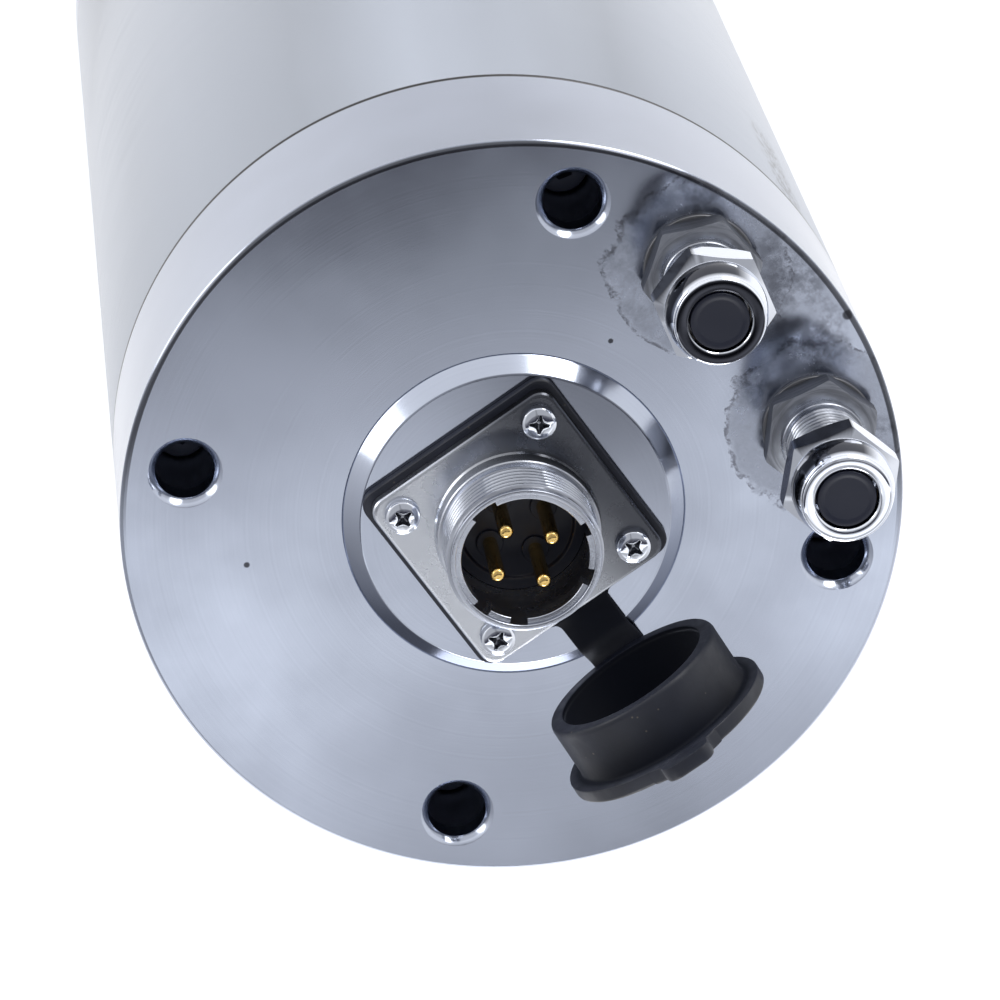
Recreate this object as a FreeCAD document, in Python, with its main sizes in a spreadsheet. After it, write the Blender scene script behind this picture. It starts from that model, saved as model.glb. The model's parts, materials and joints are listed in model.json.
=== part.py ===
import FreeCAD, Part
import math
import os
import Sketcher

# Water cooled motor spindle with a collet at the tool end (z = 0) and the connector at the rear.
# Z runs along the spindle axis towards the rear. X points from the connector to the dust cap.
# All lengths are in millimetres and all angles in degrees.

SIZES = {
    # overall body
    "nose_length": 34.0,
    "body_length": 220.0,
    "body_radius": 50.0,
    "rear_cap_length": 26.5,
    "front_cap_length": 12.0,
    "edge_chamfer": 0.4,
    "front_edge_chamfer": 1.0,
    "spigot_length": 4.0,
    "fit_gap": 0.05,
    "running_gap": 0.3,
    # sleeve and water jacket
    "sleeve_wall": 4.0,
    "jacket_wall": 7.0,
    "channel_depth": 4.5,
    "channel_land": 5.0,
    "channel_count": 8.0,
    "jacket_front_land": 11.0,
    "jacket_rear_land": 15.5,
    "crossover_width": 10.0,
    "crossover_angle": 12.0,
    "divider_width": 3.0,
    "seal_cord_radius": 0.7,
    "seal_groove_width": 1.9,
    "seal_groove_offset": 3.0,
    # cap screws of both ends
    "cap_screw_inset": 7.75,
    "cap_screw_count": 4.0,
    "cap_screw_angle": 45.0,
    "cap_screw_shank": 2.0,
    "cap_screw_head": 3.5,
    "cap_screw_head_height": 4.0,
    "cap_screw_socket": 3.0,
    "rear_screw_length": 30.0,
    "front_screw_length": 20.0,
    "rear_counterbore": 3.75,
    "rear_counterbore_depth": 18.0,
    "countersink_width": 1.0,
    "front_counterbore_depth": 5.0,
    # stator and rotor
    "stator_rear_gap": 17.5,
    "stator_bore": 21.0,
    "air_gap": 0.5,
    "slot_count": 24.0,
    "slot_width": 3.2,
    "slot_mouth": 1.2,
    "slot_lip": 1.2,
    "slot_depth": 10.0,
    "end_turn_length": 11.0,
    "end_turn_inner": 24.0,
    "end_turn_outer": 33.0,
    "end_ring_length": 6.0,
    "balance_ring_length": 5.0,
    "rotor_seat": 16.0,
    # front bearings
    "front_bearing_depth": 16.0,
    "front_bearing_bore": 15.0,
    "front_bearing_outside": 27.5,
    "front_bearing_width": 13.0,
    "front_spacer_length": 4.0,
    "front_ball": 3.55,
    "front_ball_count": 14.0,
    "front_shoulder": 18.0,
    "front_shoulder_length": 8.0,
    "front_housing_lip": 4.0,
    "housing_lip_depth": 3.0,
    "front_nut_length": 8.0,
    "front_nut_radius": 23.0,
    "nut_slot_width": 5.0,
    "nut_slot_depth": 2.5,
    # rear bearings
    "rear_bearing_bore": 10.0,
    "rear_bearing_outside": 21.0,
    "rear_bearing_width": 12.0,
    "rear_ball": 3.1,
    "rear_ball_count": 11.0,
    "rear_flange_length": 8.0,
    "rear_hub_radius": 24.5,
    "rear_hub_lip": 3.0,
    "rear_nut_length": 6.0,
    "rear_nut_radius": 14.0,
    "spring_space": 1.5,
    "spring_thickness": 0.5,
    "cover_spigot": 1.5,
    "cover_thickness": 2.5,
    "cover_screw_circle": 22.8,
    "cover_screw_shank": 1.0,
    "cover_screw_head": 1.7,
    "cover_screw_head_height": 1.6,
    "cover_screw_length": 9.0,
    "race_share": 0.68,
    "cage_half": 0.85,
    "cage_side_gap": 1.5,
    "ball_gap": 0.15,
    # front cover
    "front_cover_radius": 34.0,
    "front_cover_length": 5.5,
    "front_cover_spigot": 4.1,
    "front_cover_screw_circle": 30.8,
    "front_cover_screw_count": 6.0,
    "front_cover_screw_shank": 1.5,
    "front_cover_screw_head": 2.75,
    "front_cover_screw_head_height": 3.0,
    "front_cover_screw_socket": 2.5,
    "front_cover_screw_length": 8.0,
    "front_cover_counterbore": 3.0,
    "front_cover_counterbore_depth": 3.2,
    # shaft nose, collet and collet nut
    "collet_recess": 1.0,
    "collet_length": 31.5,
    "collet_radius": 10.5,
    "collet_bore": 3.0,
    "collet_face_radius": 8.7,
    "collet_cone_length": 3.1,
    "collet_rim_length": 0.5,
    "collet_groove_length": 2.0,
    "collet_groove_radius": 9.4,
    "taper_angle": 8.0,
    "slit_width": 0.6,
    "slit_angle": 7.5,
    "slit_length": 26.0,
    "slit_count": 6.0,
    "socket_relief_radius": 6.5,
    "socket_relief_length": 26.0,
    "socket_gap": 0.04,
    "shaft_face": 7.5,
    "nose_thread": 12.4,
    "nose_thread_end": 20.0,
    "wrench_land_radius": 14.0,
    "wrench_land_length": 8.0,
    "wrench_flats": 24.0,
    "collet_nut_length": 19.0,
    "collet_nut_flats": 30.0,
    "collet_nut_radius": 17.0,
    "collet_nut_chamfer": 2.0,
    "nut_axial_gap": 0.15,
    "nut_thread_start": 9.0,
    "nut_lip_radius": 10.2,
    "shaft_tail": 7.0,
    # rear cap
    "boss_radius": 21.8,
    "boss_height": 2.0,
    "rear_wall": 8.0,
    "connector_hole": 9.4,
    "wire_hole_circle": 27.3,
    "wire_hole_radius": 2.7,
    # panel connector
    "gasket_side": 28.6,
    "gasket_corner": 1.6,
    "gasket_thickness": 1.2,
    "flange_side": 27.5,
    "flange_corner": 2.4,
    "flange_thickness": 1.8,
    "shell_bore": 8.8,
    "shell_tail_radius": 9.3,
    "shell_tail_length": 9.2,
    "collar_radius": 10.4,
    "collar_length": 2.5,
    "collar_chamfer": 0.5,
    "thread_radius": 9.95,
    "thread_depth": 0.55,
    "thread_pitch": 1.0,
    "thread_turns": 7.0,
    "barrel_height": 15.0,
    "key_lip_radius": 8.05,
    "key_lip_length": 2.6,
    "key_lip_recess": 0.4,
    "insert_face": 3.5,
    "pin_circle": 4.15,
    "pin_radius": 0.95,
    "pin_tip_height": 14.2,
    "pin_tip_chamfer": 0.45,
    "pin_tail_length": 15.0,
    "cup_radius": 1.3,
    "cup_length": 5.0,
    "panel_screw_circle": 14.85,
    "panel_screw_shank": 1.5,
    "panel_screw_head": 2.25,
    "panel_screw_head_height": 1.5,
    "panel_screw_length": 10.0,
    "cross_length": 1.3,
    "cross_width": 0.4,
    "cross_depth": 0.9,
    # dust cap and strap, drawn closed over the barrel and swung open
    "cap_mouth_height": 8.5,
    "cap_depth": 7.7,
    "cap_disc_thickness": 2.0,
    "cap_disc_radius": 14.0,
    "cap_disc_rounding": 0.5,
    "cap_cup_radius": 12.1,
    "cap_bore": 10.3,
    "cap_tab_half_width": 3.5,
    "cap_tab_reach": 2.8,
    "cap_tab_thickness": 1.2,
    "cap_tab_corner": 2.6,
    "hinge_reach": 13.6,
    "hinge_drop": 0.9,
    "hinge_lean": -0.04,
    "hinge_tip": -0.10,
    "swing_angle": 84.0,
    "strap_half_width": 3.65,
    "strap_thickness": 1.0,
    "strap_start": 14.4,
    "strap_flare": 1.4,
    "strap_crest": 20.0,
    "strap_foot": 22.7,
    "strap_end": 30.2,
    # water fittings
    "port_inset": 9.9,
    "inlet_angle": 109.6,
    "outlet_angle": 70.4,
    "port_thread": 4.75,
    "port_wall": 1.0,
    "port_depth": 10.0,
    "port_bore": 3.0,
    "passage_radius": 2.0,
    "passage_inset": 8.6,
    "washer_thickness": 0.8,
    "washer_radius": 7.1,
    "fitting_flats": 13.4,
    "fitting_hexagon_height": 3.8,
    "fitting_hexagon_corner": 7.75,
    "fitting_collar": 5.35,
    "fitting_collar_height": 1.3,
    "fitting_thread": 5.0,
    "fitting_thread_depth": 0.55,
    "fitting_pitch": 1.0,
    "fitting_turns": 11.0,
    "inlet_nut_height": 11.5,
    "outlet_nut_height": 16.2,
    "inlet_hexagon_turn": 7.0,
    "outlet_hexagon_turn": 19.0,
    "inlet_nut_turn": 48.0,
    "outlet_nut_turn": 16.0,
    "union_thread": 5.06,
    "union_thread_length": 6.1,
    "union_hexagon_height": 4.2,
    "union_collar": 6.38,
    "union_mouth": 5.35,
    "union_length": 8.75,
    "union_bore": 3.97,
    "union_bore_start": 7.2,
    "ferrule_length": 0.9,
    "plug_head": 3.68,
    "plug_head_length": 2.2,
    "plug_stem": 2.7,
    "plug_stem_length": 5.0,
    "plug_recess": 0.3,
    # leads from the windings to the connector
    "lead_radius": 0.9,
    "lead_spread": 1.0,
    "lead_bend": 3.0,
    "lead_drop": 21.4,
    "lead_step": 2.2,
}


class Size:
    """A length or angle that knows its number and the sheet expression that it comes from."""

    def __init__(self, number, text):
        self.number = number
        self.text = text

    def __add__(self, other):
        other = as_size(other)
        return Size(self.number + other.number, "(%s + %s)" % (self.text, other.text))

    def __sub__(self, other):
        other = as_size(other)
        return Size(self.number - other.number, "(%s - %s)" % (self.text, other.text))

    def __rsub__(self, other):
        return as_size(other) - self

    def __mul__(self, other):
        other = as_size(other)
        return Size(self.number * other.number, "(%s * %s)" % (self.text, other.text))

    def __truediv__(self, other):
        other = as_size(other)
        return Size(self.number / other.number, "(%s / %s)" % (self.text, other.text))

    def __neg__(self):
        return as_size(0.0) - self

    __radd__ = __add__
    __rmul__ = __mul__


class Table:
    """The sheet's values by name, each read back from the sheet as a Size."""

    def __init__(self, sheet):
        self.sheet = sheet

    def __getattr__(self, name):
        return Size(float(self.sheet.get(name)), "Sizes." + name)


def as_size(value):
    """Turn a plain number into a Size and leave a Size as it is."""
    if isinstance(value, Size):
        return value
    return Size(float(value), repr(float(value)))


def cosine(angle):
    return Size(math.cos(math.radians(angle.number)), "cos(%s)" % angle.text)


def sine(angle):
    return Size(math.sin(math.radians(angle.number)), "sin(%s)" % angle.text)


def tangent(angle):
    return Size(math.tan(math.radians(angle.number)), "tan(%s)" % angle.text)


def make_sheet(doc):
    """Write every driving size to the sheet under its own alias."""
    sheet = doc.addObject("Spreadsheet::Sheet", "Sizes")
    for row, (name, number) in enumerate(SIZES.items(), start=1):
        sheet.set("A%d" % row, name)
        sheet.set("B%d" % row, str(number))
        sheet.setAlias("B%d" % row, name)
    doc.recompute()
    return sheet


DOC = FreeCAD.newDocument("motor_spindle")
S = Table(make_sheet(DOC))
ZERO = as_size(0.0)
NODES = []

# planes and radii that several pieces share
REAR = S.nose_length + S.body_length
REAR_SEAM = REAR - S.rear_cap_length
FRONT_SEAM = S.nose_length + S.front_cap_length
BOSS_TOP = REAR + S.boss_height
SLEEVE_BORE = S.body_radius - S.sleeve_wall
SPIGOT = SLEEVE_BORE - S.fit_gap
JACKET_BORE = SPIGOT - S.jacket_wall
JACKET_START = FRONT_SEAM + S.spigot_length
SCREW_CIRCLE = S.body_radius - S.cap_screw_inset
PORT_CIRCLE = S.body_radius - S.port_inset
PASSAGE_CIRCLE = S.body_radius - S.passage_inset
CAVITY_RADIUS = PORT_CIRCLE - S.port_thread - S.port_wall
REAR_HOUSING_END = REAR_SEAM - S.spigot_length
JACKET_END = REAR_HOUSING_END - S.rear_flange_length
CHANNEL_WIDTH = (JACKET_END - JACKET_START - S.jacket_front_land - S.jacket_rear_land
                 - (S.channel_count - 1) * S.channel_land) / S.channel_count
SEAL_RING_RADIUS = SPIGOT - S.seal_cord_radius
ROTOR_RADIUS = S.stator_bore - S.air_gap
REAR_BEARING_END = REAR_HOUSING_END - S.cover_spigot - S.spring_space
REAR_BEARING_START = REAR_BEARING_END - 2 * S.rear_bearing_width
STATOR_END = REAR_BEARING_START - S.stator_rear_gap
FRONT_BEARING_START = S.nose_length + S.front_bearing_depth
FRONT_BEARING_END = FRONT_BEARING_START + 2 * S.front_bearing_width + S.front_spacer_length
STATOR_START = (FRONT_BEARING_END + S.front_shoulder_length + S.balance_ring_length
                + S.end_ring_length)
STATOR_LENGTH = STATOR_END - STATOR_START
GASKET_TOP = BOSS_TOP + S.gasket_thickness
FLANGE_TOP = GASKET_TOP + S.flange_thickness
BARREL_TOP = REAR + S.barrel_height
INSERT_FACE = REAR + S.insert_face
COLLET_TAPER_START = (S.collet_recess + S.collet_cone_length + S.collet_rim_length
                      + S.collet_groove_length)


def node(item):
    """Keep a finished sub-part for export under its own label."""
    NODES.append(item)
    return item


def origin_feature(body, role):
    """Find one of a body's own origin planes or axes."""
    for feature in body.Origin.OriginFeatures:
        if feature.Role == role:
            return feature
    raise RuntimeError("no origin feature " + role)


def bind(item, path, size):
    item.setExpression(path, as_size(size).text)


def place(item, across=ZERO, along=ZERO, up=ZERO, turn=None):
    """Tie a sub-part's place to the sheet, with an optional turn about Z."""
    bind(item, ".Placement.Base.x", across)
    bind(item, ".Placement.Base.y", along)
    bind(item, ".Placement.Base.z", up)
    if turn is not None:
        item.Placement.Rotation = FreeCAD.Rotation(FreeCAD.Vector(0, 0, 1), 1)
        bind(item, ".Placement.Rotation.Angle", turn)


def outline_sketch(body, plane, name, corners, lift=ZERO, turn=None, axis_at=None):
    """Draw a closed outline of straight lines, every corner tied to the sheet.

    The sketch lies on one of the body's own planes, lifted along its normal, or
    turned about its upright axis. An upright construction line marks axis_at.
    """
    sketch = body.newObject("Sketcher::SketchObject", name)
    sketch.AttachmentSupport = [(origin_feature(body, plane), "")]
    sketch.MapMode = "FlatFace"
    if turn is not None:
        upright = FreeCAD.Vector(0, 1, 0)
        sketch.AttachmentOffset = FreeCAD.Placement(FreeCAD.Vector(), FreeCAD.Rotation(upright, 1))
        bind(sketch, ".AttachmentOffset.Rotation.Angle", turn)
    else:
        bind(sketch, ".AttachmentOffset.Base.z", lift)
    corners = [(as_size(x), as_size(y)) for x, y in corners]
    points = [FreeCAD.Vector(x.number, y.number, 0) for x, y in corners]
    count = len(points)
    for index, point in enumerate(points):
        sketch.addGeometry(Part.LineSegment(point, points[(index + 1) % count]), False)
    rules = []
    for index in range(count):
        rules.append(Sketcher.Constraint("Coincident", index, 2, (index + 1) % count, 1))
    if axis_at is not None:
        foot = FreeCAD.Vector(axis_at.number, points[0].y, 0)
        head = FreeCAD.Vector(axis_at.number, points[0].y + 1, 0)
        line = sketch.addGeometry(Part.LineSegment(foot, head), True)
        rules.append(Sketcher.Constraint("Coincident", line, 1, 0, 1))
        rules.append(Sketcher.Constraint("Vertical", line))
        rules.append(Sketcher.Constraint("DistanceY", line, 1, line, 2, 1.0))
    first = len(rules)
    for index, (x, y) in enumerate(corners):
        rules.append(Sketcher.Constraint("DistanceX", -1, 1, index, 1, x.number))
        rules.append(Sketcher.Constraint("DistanceY", -1, 1, index, 1, y.number))
    sketch.addConstraint(rules)
    for index, (x, y) in enumerate(corners):
        bind(sketch, "Constraints[%d]" % (first + 2 * index), x)
        bind(sketch, "Constraints[%d]" % (first + 2 * index + 1), y)
    return sketch


def circle_sketch(body, name, circles, lift):
    """Draw circles, each given by centre and radius, on a level plane."""
    sketch = body.newObject("Sketcher::SketchObject", name)
    sketch.AttachmentSupport = [(origin_feature(body, "XY_Plane"), "")]
    sketch.MapMode = "FlatFace"
    bind(sketch, ".AttachmentOffset.Base.z", lift)
    for index, (x, y, radius) in enumerate(circles):
        x, y, radius = as_size(x), as_size(y), as_size(radius)
        centre = FreeCAD.Vector(x.number, y.number, 0)
        sketch.addGeometry(Part.Circle(centre, FreeCAD.Vector(0, 0, 1), radius.number), False)
        rules = [Sketcher.Constraint("Radius", index, radius.number),
                 Sketcher.Constraint("DistanceX", -1, 1, index, 3, x.number),
                 Sketcher.Constraint("DistanceY", -1, 1, index, 3, y.number)]
        sketch.addConstraint(rules)
        for offset, size in enumerate((radius, x, y)):
            bind(sketch, "Constraints[%d]" % (3 * index + offset), size)
    return sketch


def turn_outline(body, name, corners, kind="PartDesign::Revolution"):
    """Turn an outline of radius and height pairs about the body's own Z axis."""
    sketch = outline_sketch(body, "XZ_Plane", name + "_outline", corners)
    feature = body.newObject(kind, name)
    feature.Profile = sketch
    feature.ReferenceAxis = (sketch, ["V_Axis"])
    feature.Angle = 360
    return feature


def turned_body(label, corners):
    body = DOC.addObject("PartDesign::Body", label)
    turn_outline(body, label + "_turned", corners)
    return node(body)


def stepped(body, name, circle, angle, steps, kind="PartDesign::Groove", count=None, extra=()):
    """Turn a stepped outline about an upright axis beside the centre.

    A step is a pair of radius and height. A Groove drills holes and a Revolution
    adds posts. A count repeats them, with any extra features, around the centre.
    """
    corners = [(circle, steps[0][1])]
    corners += [(circle + radius, height) for radius, height in steps]
    corners.append((circle, steps[-1][1]))
    sketch = outline_sketch(body, "XZ_Plane", name + "_outline", corners, turn=angle, axis_at=circle)
    feature = body.newObject(kind, name)
    feature.Profile = sketch
    feature.ReferenceAxis = (sketch, ["Axis0"])
    feature.Angle = 360
    if count is not None:
        originals = [feature] + [make(body) for make in extra]
        polar(body, name + "_ring", originals, count)
    return feature


def polar(body, name, originals, count):
    pattern = body.newObject("PartDesign::PolarPattern", name)
    pattern.Originals = originals
    pattern.Axis = (origin_feature(body, "Z_Axis"), [""])
    pattern.Angle = 360
    bind(pattern, "Occurrences", count)
    body.Tip = pattern
    return pattern


def prism(body, name, corners, bottom, length, kind="PartDesign::Pad"):
    """Pad a level outline upwards from a height, or pocket it upwards."""
    sketch = outline_sketch(body, "XY_Plane", name + "_outline", corners, lift=bottom)
    return push(body, name, sketch, length, kind)


def push(body, name, sketch, length, kind):
    feature = body.newObject(kind, name)
    feature.Profile = sketch
    bind(feature, "Length", length)
    feature.Reversed = kind == "PartDesign::Pocket"
    return feature


def rectangle(left, right, front, back):
    return [(left, front), (right, front), (right, back), (left, back)]


def spoke(angle, inner, outer, half_width):
    """Corners of a straight bar that points outwards at an angle."""
    across, up = cosine(angle), sine(angle)
    pairs = ((inner, -half_width), (outer, -half_width), (outer, half_width), (inner, half_width))
    return [(reach * across - side * up, reach * up + side * across) for reach, side in pairs]


def polygon(flats, turn, sides=6, across=ZERO, along=ZERO):
    """Corners of a regular polygon given by its width across the flats."""
    corner = flats / 2 / cosine(as_size(180.0 / sides))
    angles = [turn + 360.0 / sides * index for index in range(sides)]
    return [(across + corner * cosine(angle), along + corner * sine(angle)) for angle in angles]


def mill_flats(body, name, flats, turn, bottom, length, clear_radius):
    """Mill a turned body to a hexagon between two heights."""
    sketch = outline_sketch(body, "XY_Plane", name + "_outline", polygon(flats, turn), lift=bottom)
    count = len(sketch.Geometry)
    centre = FreeCAD.Vector(0, 0, 0)
    sketch.addGeometry(Part.Circle(centre, FreeCAD.Vector(0, 0, 1), clear_radius.number), False)
    rule = sketch.addConstraint(Sketcher.Constraint("Radius", count, clear_radius.number))
    sketch.addConstraint(Sketcher.Constraint("Coincident", count, 3, -1, 1))
    bind(sketch, "Constraints[%d]" % rule, clear_radius)
    return push(body, name, sketch, length, "PartDesign::Pocket")


def round_upright_edges(body, name, feature, radius):
    """Round every straight upright edge of a feature."""
    DOC.recompute()
    edges = []
    for index, edge in enumerate(feature.Shape.Edges, start=1):
        ends = [vertex.Point for vertex in edge.Vertexes]
        if len(ends) == 2 and abs(ends[0].z - ends[1].z) > 1e-6 and edge.Curve.TypeId == "Part::GeomLine":
            edges.append("Edge%d" % index)
    fillet = body.newObject("PartDesign::Fillet", name)
    fillet.Base = (feature, edges)
    bind(fillet, "Radius", radius)
    return fillet


def compound(label, items):
    group = DOC.addObject("Part::Compound", label)
    group.Links = items
    return node(group)


def cylinder(name, radius, bottom, length):
    item = DOC.addObject("Part::Cylinder", name)
    bind(item, "Radius", radius)
    bind(item, "Height", length)
    bind(item, ".Placement.Base.z", bottom)
    return item


def torus(name, ring_radius, cord_radius, height):
    item = DOC.addObject("Part::Torus", name)
    bind(item, "Radius1", ring_radius)
    bind(item, "Radius2", cord_radius)
    bind(item, ".Placement.Base.z", height)
    return item


def cut(name, base, tool):
    item = DOC.addObject("Part::Cut", name)
    item.Base = base
    item.Tool = tool
    return item


def ring(name, outer, inner, bottom, length):
    """A plain ring; its bore is cut longer than the ring at both ends."""
    bore = cylinder(name + "_bore", inner, bottom - 1, length + 2)
    return cut(name, cylinder(name + "_blank", outer, bottom, length), bore)


def ridges(crest, root, bottom, pitch, count):
    """Corners of a row of thread ridges, from the bottom upwards."""
    corners = []
    for index in range(count):
        foot = bottom + index * pitch
        corners += [(root, foot), (crest, foot + pitch * 0.35), (crest, foot + pitch * 0.65)]
    corners.append((root, bottom + count * pitch))
    return corners


def seal_groove(surface, start):
    """Corners of a square seal groove sunk into an outer surface."""
    floor = surface - 2 * S.seal_cord_radius - 0.1
    end = start + S.seal_groove_width
    return [(surface, start), (floor, start), (floor, end), (surface, end)]


def build_sleeve_and_jacket():
    radius, bevel = S.body_radius, S.edge_chamfer / 2
    turned_body("outer_sleeve", [
        (SLEEVE_BORE, FRONT_SEAM), (radius - bevel, FRONT_SEAM), (radius, FRONT_SEAM + bevel),
        (radius, REAR_SEAM - bevel), (radius - bevel, REAR_SEAM), (SLEEVE_BORE, REAR_SEAM)])

    floor = SPIGOT - S.channel_depth
    pitch = CHANNEL_WIDTH + S.channel_land
    first = JACKET_START + S.jacket_front_land
    count = int(S.channel_count.number)
    corners = [(JACKET_BORE, JACKET_START), (SPIGOT, JACKET_START)]
    front_groove = JACKET_START + S.seal_groove_offset
    rear_groove = JACKET_END - S.seal_groove_offset - S.seal_groove_width
    corners += seal_groove(SPIGOT, front_groove)
    for index in range(count):
        start = first + index * pitch
        end = start + CHANNEL_WIDTH
        corners += [(SPIGOT, start), (floor, start), (floor, end), (SPIGOT, end)]
    corners += seal_groove(SPIGOT, rear_groove)
    corners += [(SPIGOT, JACKET_END), (JACKET_BORE, JACKET_END)]
    jacket = turned_body("water_jacket", corners)

    # two dividers split all but the first channel into a left and a right half
    reach = SPIGOT - 0.1
    half = S.divider_width / 2
    divider_start = first + pitch
    divider_length = pitch * (count - 1) - S.channel_land
    for side, (near, far) in {"port": (floor - 0.5, reach), "far": (-reach, 0.5 - floor)}.items():
        prism(jacket, "divider_" + side, rectangle(-half, half, near, far), divider_start, divider_length)

    # the water crosses each land at alternate ends of its half turn
    for index in range(count - 1):
        start = first + index * pitch + CHANNEL_WIDTH
        middle = 90.0 if index % 2 else 270.0
        for side in (-1, 1):
            way = spoke(middle + side * S.crossover_angle, floor, SPIGOT + 1, S.crossover_width / 2)
            prism(jacket, "crossover_%d_%d" % (index, side + 1), way, start, S.channel_land,
                  "PartDesign::Pocket")

    last = first + (count - 1) * pitch + CHANNEL_WIDTH - 1
    for name, angle in (("inlet", S.inlet_angle), ("outlet", S.outlet_angle)):
        stepped(jacket, name + "_way", PASSAGE_CIRCLE, angle,
                [(S.passage_radius, last), (S.passage_radius, JACKET_END + 1)])
    stepped(jacket, "front_screw_holes", SCREW_CIRCLE, S.cap_screw_angle,
            [(S.cap_screw_shank + S.fit_gap, JACKET_START - 1),
             (S.cap_screw_shank + S.fit_gap, FRONT_SCREW_TIP + 1)], count=S.cap_screw_count)
    stepped(jacket, "rear_screw_holes", SCREW_CIRCLE, S.cap_screw_angle,
            [(S.cap_screw_shank + S.fit_gap, REAR_SCREW_TIP - 1),
             (S.cap_screw_shank + S.fit_gap, JACKET_END + 1)], count=S.cap_screw_count)

    middle = S.seal_groove_width / 2
    compound("jacket_seal_rings", [
        torus("front_jacket_seal", SEAL_RING_RADIUS, S.seal_cord_radius, front_groove + middle),
        torus("rear_jacket_seal", SEAL_RING_RADIUS, S.seal_cord_radius, rear_groove + middle)])


# cap screws: head seats on the counterbore floor, tip reaches into the jacket's end land
REAR_HEAD_SEAT = REAR - S.rear_counterbore_depth
REAR_SCREW_TIP = REAR_HEAD_SEAT - S.rear_screw_length
FRONT_HEAD_SEAT = S.nose_length + S.front_counterbore_depth
FRONT_SCREW_TIP = FRONT_HEAD_SEAT + S.front_screw_length


def build_stator():
    outside = JACKET_BORE - S.fit_gap
    start, end = STATOR_START, STATOR_END
    core = turned_body("stator_core", [
        (S.stator_bore, start), (outside, start), (outside, end), (S.stator_bore, end)])
    mouth, lip = S.slot_mouth / 2, S.stator_bore + S.slot_lip
    wide, deep = S.slot_width / 2, S.stator_bore + S.slot_lip + S.slot_depth
    slot = prism(core, "slot", [
        (S.stator_bore - 1, -mouth), (lip, -mouth), (lip, -wide), (deep, -wide),
        (deep, wide), (lip, wide), (lip, mouth), (S.stator_bore - 1, mouth)],
        start - 1, STATOR_LENGTH + 2, "PartDesign::Pocket")
    polar(core, "slots", [slot], S.slot_count)

    inner, outer, bevel = S.end_turn_inner, S.end_turn_outer, 2.0
    front, rear = start - S.end_turn_length, end + S.end_turn_length
    windings = turned_body("stator_windings", [
        (inner, front + bevel), (inner + bevel, front), (outer - bevel, front),
        (outer, front + bevel), (outer, start - S.fit_gap), (inner, start - S.fit_gap)])
    turn_outline(windings, "rear_end_turns", [
        (inner, end + S.fit_gap), (outer, end + S.fit_gap), (outer, rear - bevel),
        (outer - bevel, rear), (inner + bevel, rear), (inner, rear - bevel)])
    gap = 0.15
    bar = prism(windings, "slot_bar",
                rectangle(inner + 1, deep - gap, -(wide - gap), wide - gap),
                start - 1, STATOR_LENGTH + 2)
    polar(windings, "slot_bars", [bar], S.slot_count)


def build_rotor():
    """The laminated core with its end rings and balance rings, all on the shaft's seat."""
    start, end = STATOR_START, STATOR_END
    bore = S.rotor_seat + 0.03
    node(ring("rotor_core", ROTOR_RADIUS, bore, start, STATOR_LENGTH))
    long, short = S.end_ring_length, S.balance_ring_length
    for label, radius, length, front in (
            ("rotor_end_rings", ROTOR_RADIUS - 0.5, long, start - long),
            ("balance_rings", ROTOR_RADIUS - 1.5, short, start - long - short)):
        rear = start + end - front - length
        compound(label, [ring(label + "_front", radius, bore, front, length),
                         ring(label + "_rear", radius, bore, rear, length)])


def shaft_socket_radius(height):
    """Radius of the collet socket at a height, a small gap outside the collet's taper."""
    return S.collet_radius + S.socket_gap - (height - COLLET_TAPER_START) * tangent(S.taper_angle)


def build_shaft():
    relief_start = S.collet_recess + S.collet_length + 1.5
    relief_end = relief_start + S.socket_relief_length
    land_end = S.nose_thread_end + S.wrench_land_length
    nut_start = FRONT_BEARING_START - S.front_nut_length
    shoulder_end = FRONT_BEARING_END + S.front_shoulder_length
    seat_end = STATOR_END + S.end_ring_length + S.balance_ring_length
    tail = REAR_BEARING_END + S.rear_nut_length + 3
    neck = S.front_bearing_bore - 0.2
    shaft = turned_body("shaft", [
        (shaft_socket_radius(S.shaft_face), S.shaft_face),
        (S.nose_thread - 0.5, S.shaft_face), (S.nose_thread, S.shaft_face + 0.5),
        (S.nose_thread, S.nose_thread_end), (S.wrench_land_radius, S.nose_thread_end),
        (S.wrench_land_radius, land_end), (neck, land_end), (neck, nut_start),
        (S.front_bearing_bore, nut_start), (S.front_bearing_bore, FRONT_BEARING_END),
        (S.front_shoulder, FRONT_BEARING_END), (S.front_shoulder, shoulder_end),
        (S.rotor_seat, shoulder_end), (S.rotor_seat, seat_end), (S.rotor_seat - 3, seat_end),
        (S.rotor_seat - 3, REAR_BEARING_START), (S.rear_bearing_bore, REAR_BEARING_START),
        (S.rear_bearing_bore, tail - 0.8), (S.rear_bearing_bore - 0.8, tail), (0, tail),
        (0, relief_end), (S.socket_relief_radius, relief_end),
        (S.socket_relief_radius, relief_start), (shaft_socket_radius(relief_start), relief_start)])
    near, far, wide = S.wrench_flats / 2, S.wrench_land_radius + 1, S.wrench_land_radius + 1
    for side, (left, right) in {"left": (-far, -near), "right": (near, far)}.items():
        prism(shaft, "wrench_flat_" + side, rectangle(left, right, -wide, wide),
              S.nose_thread_end - 0.01, S.wrench_land_length - 1, "PartDesign::Pocket")


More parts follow.
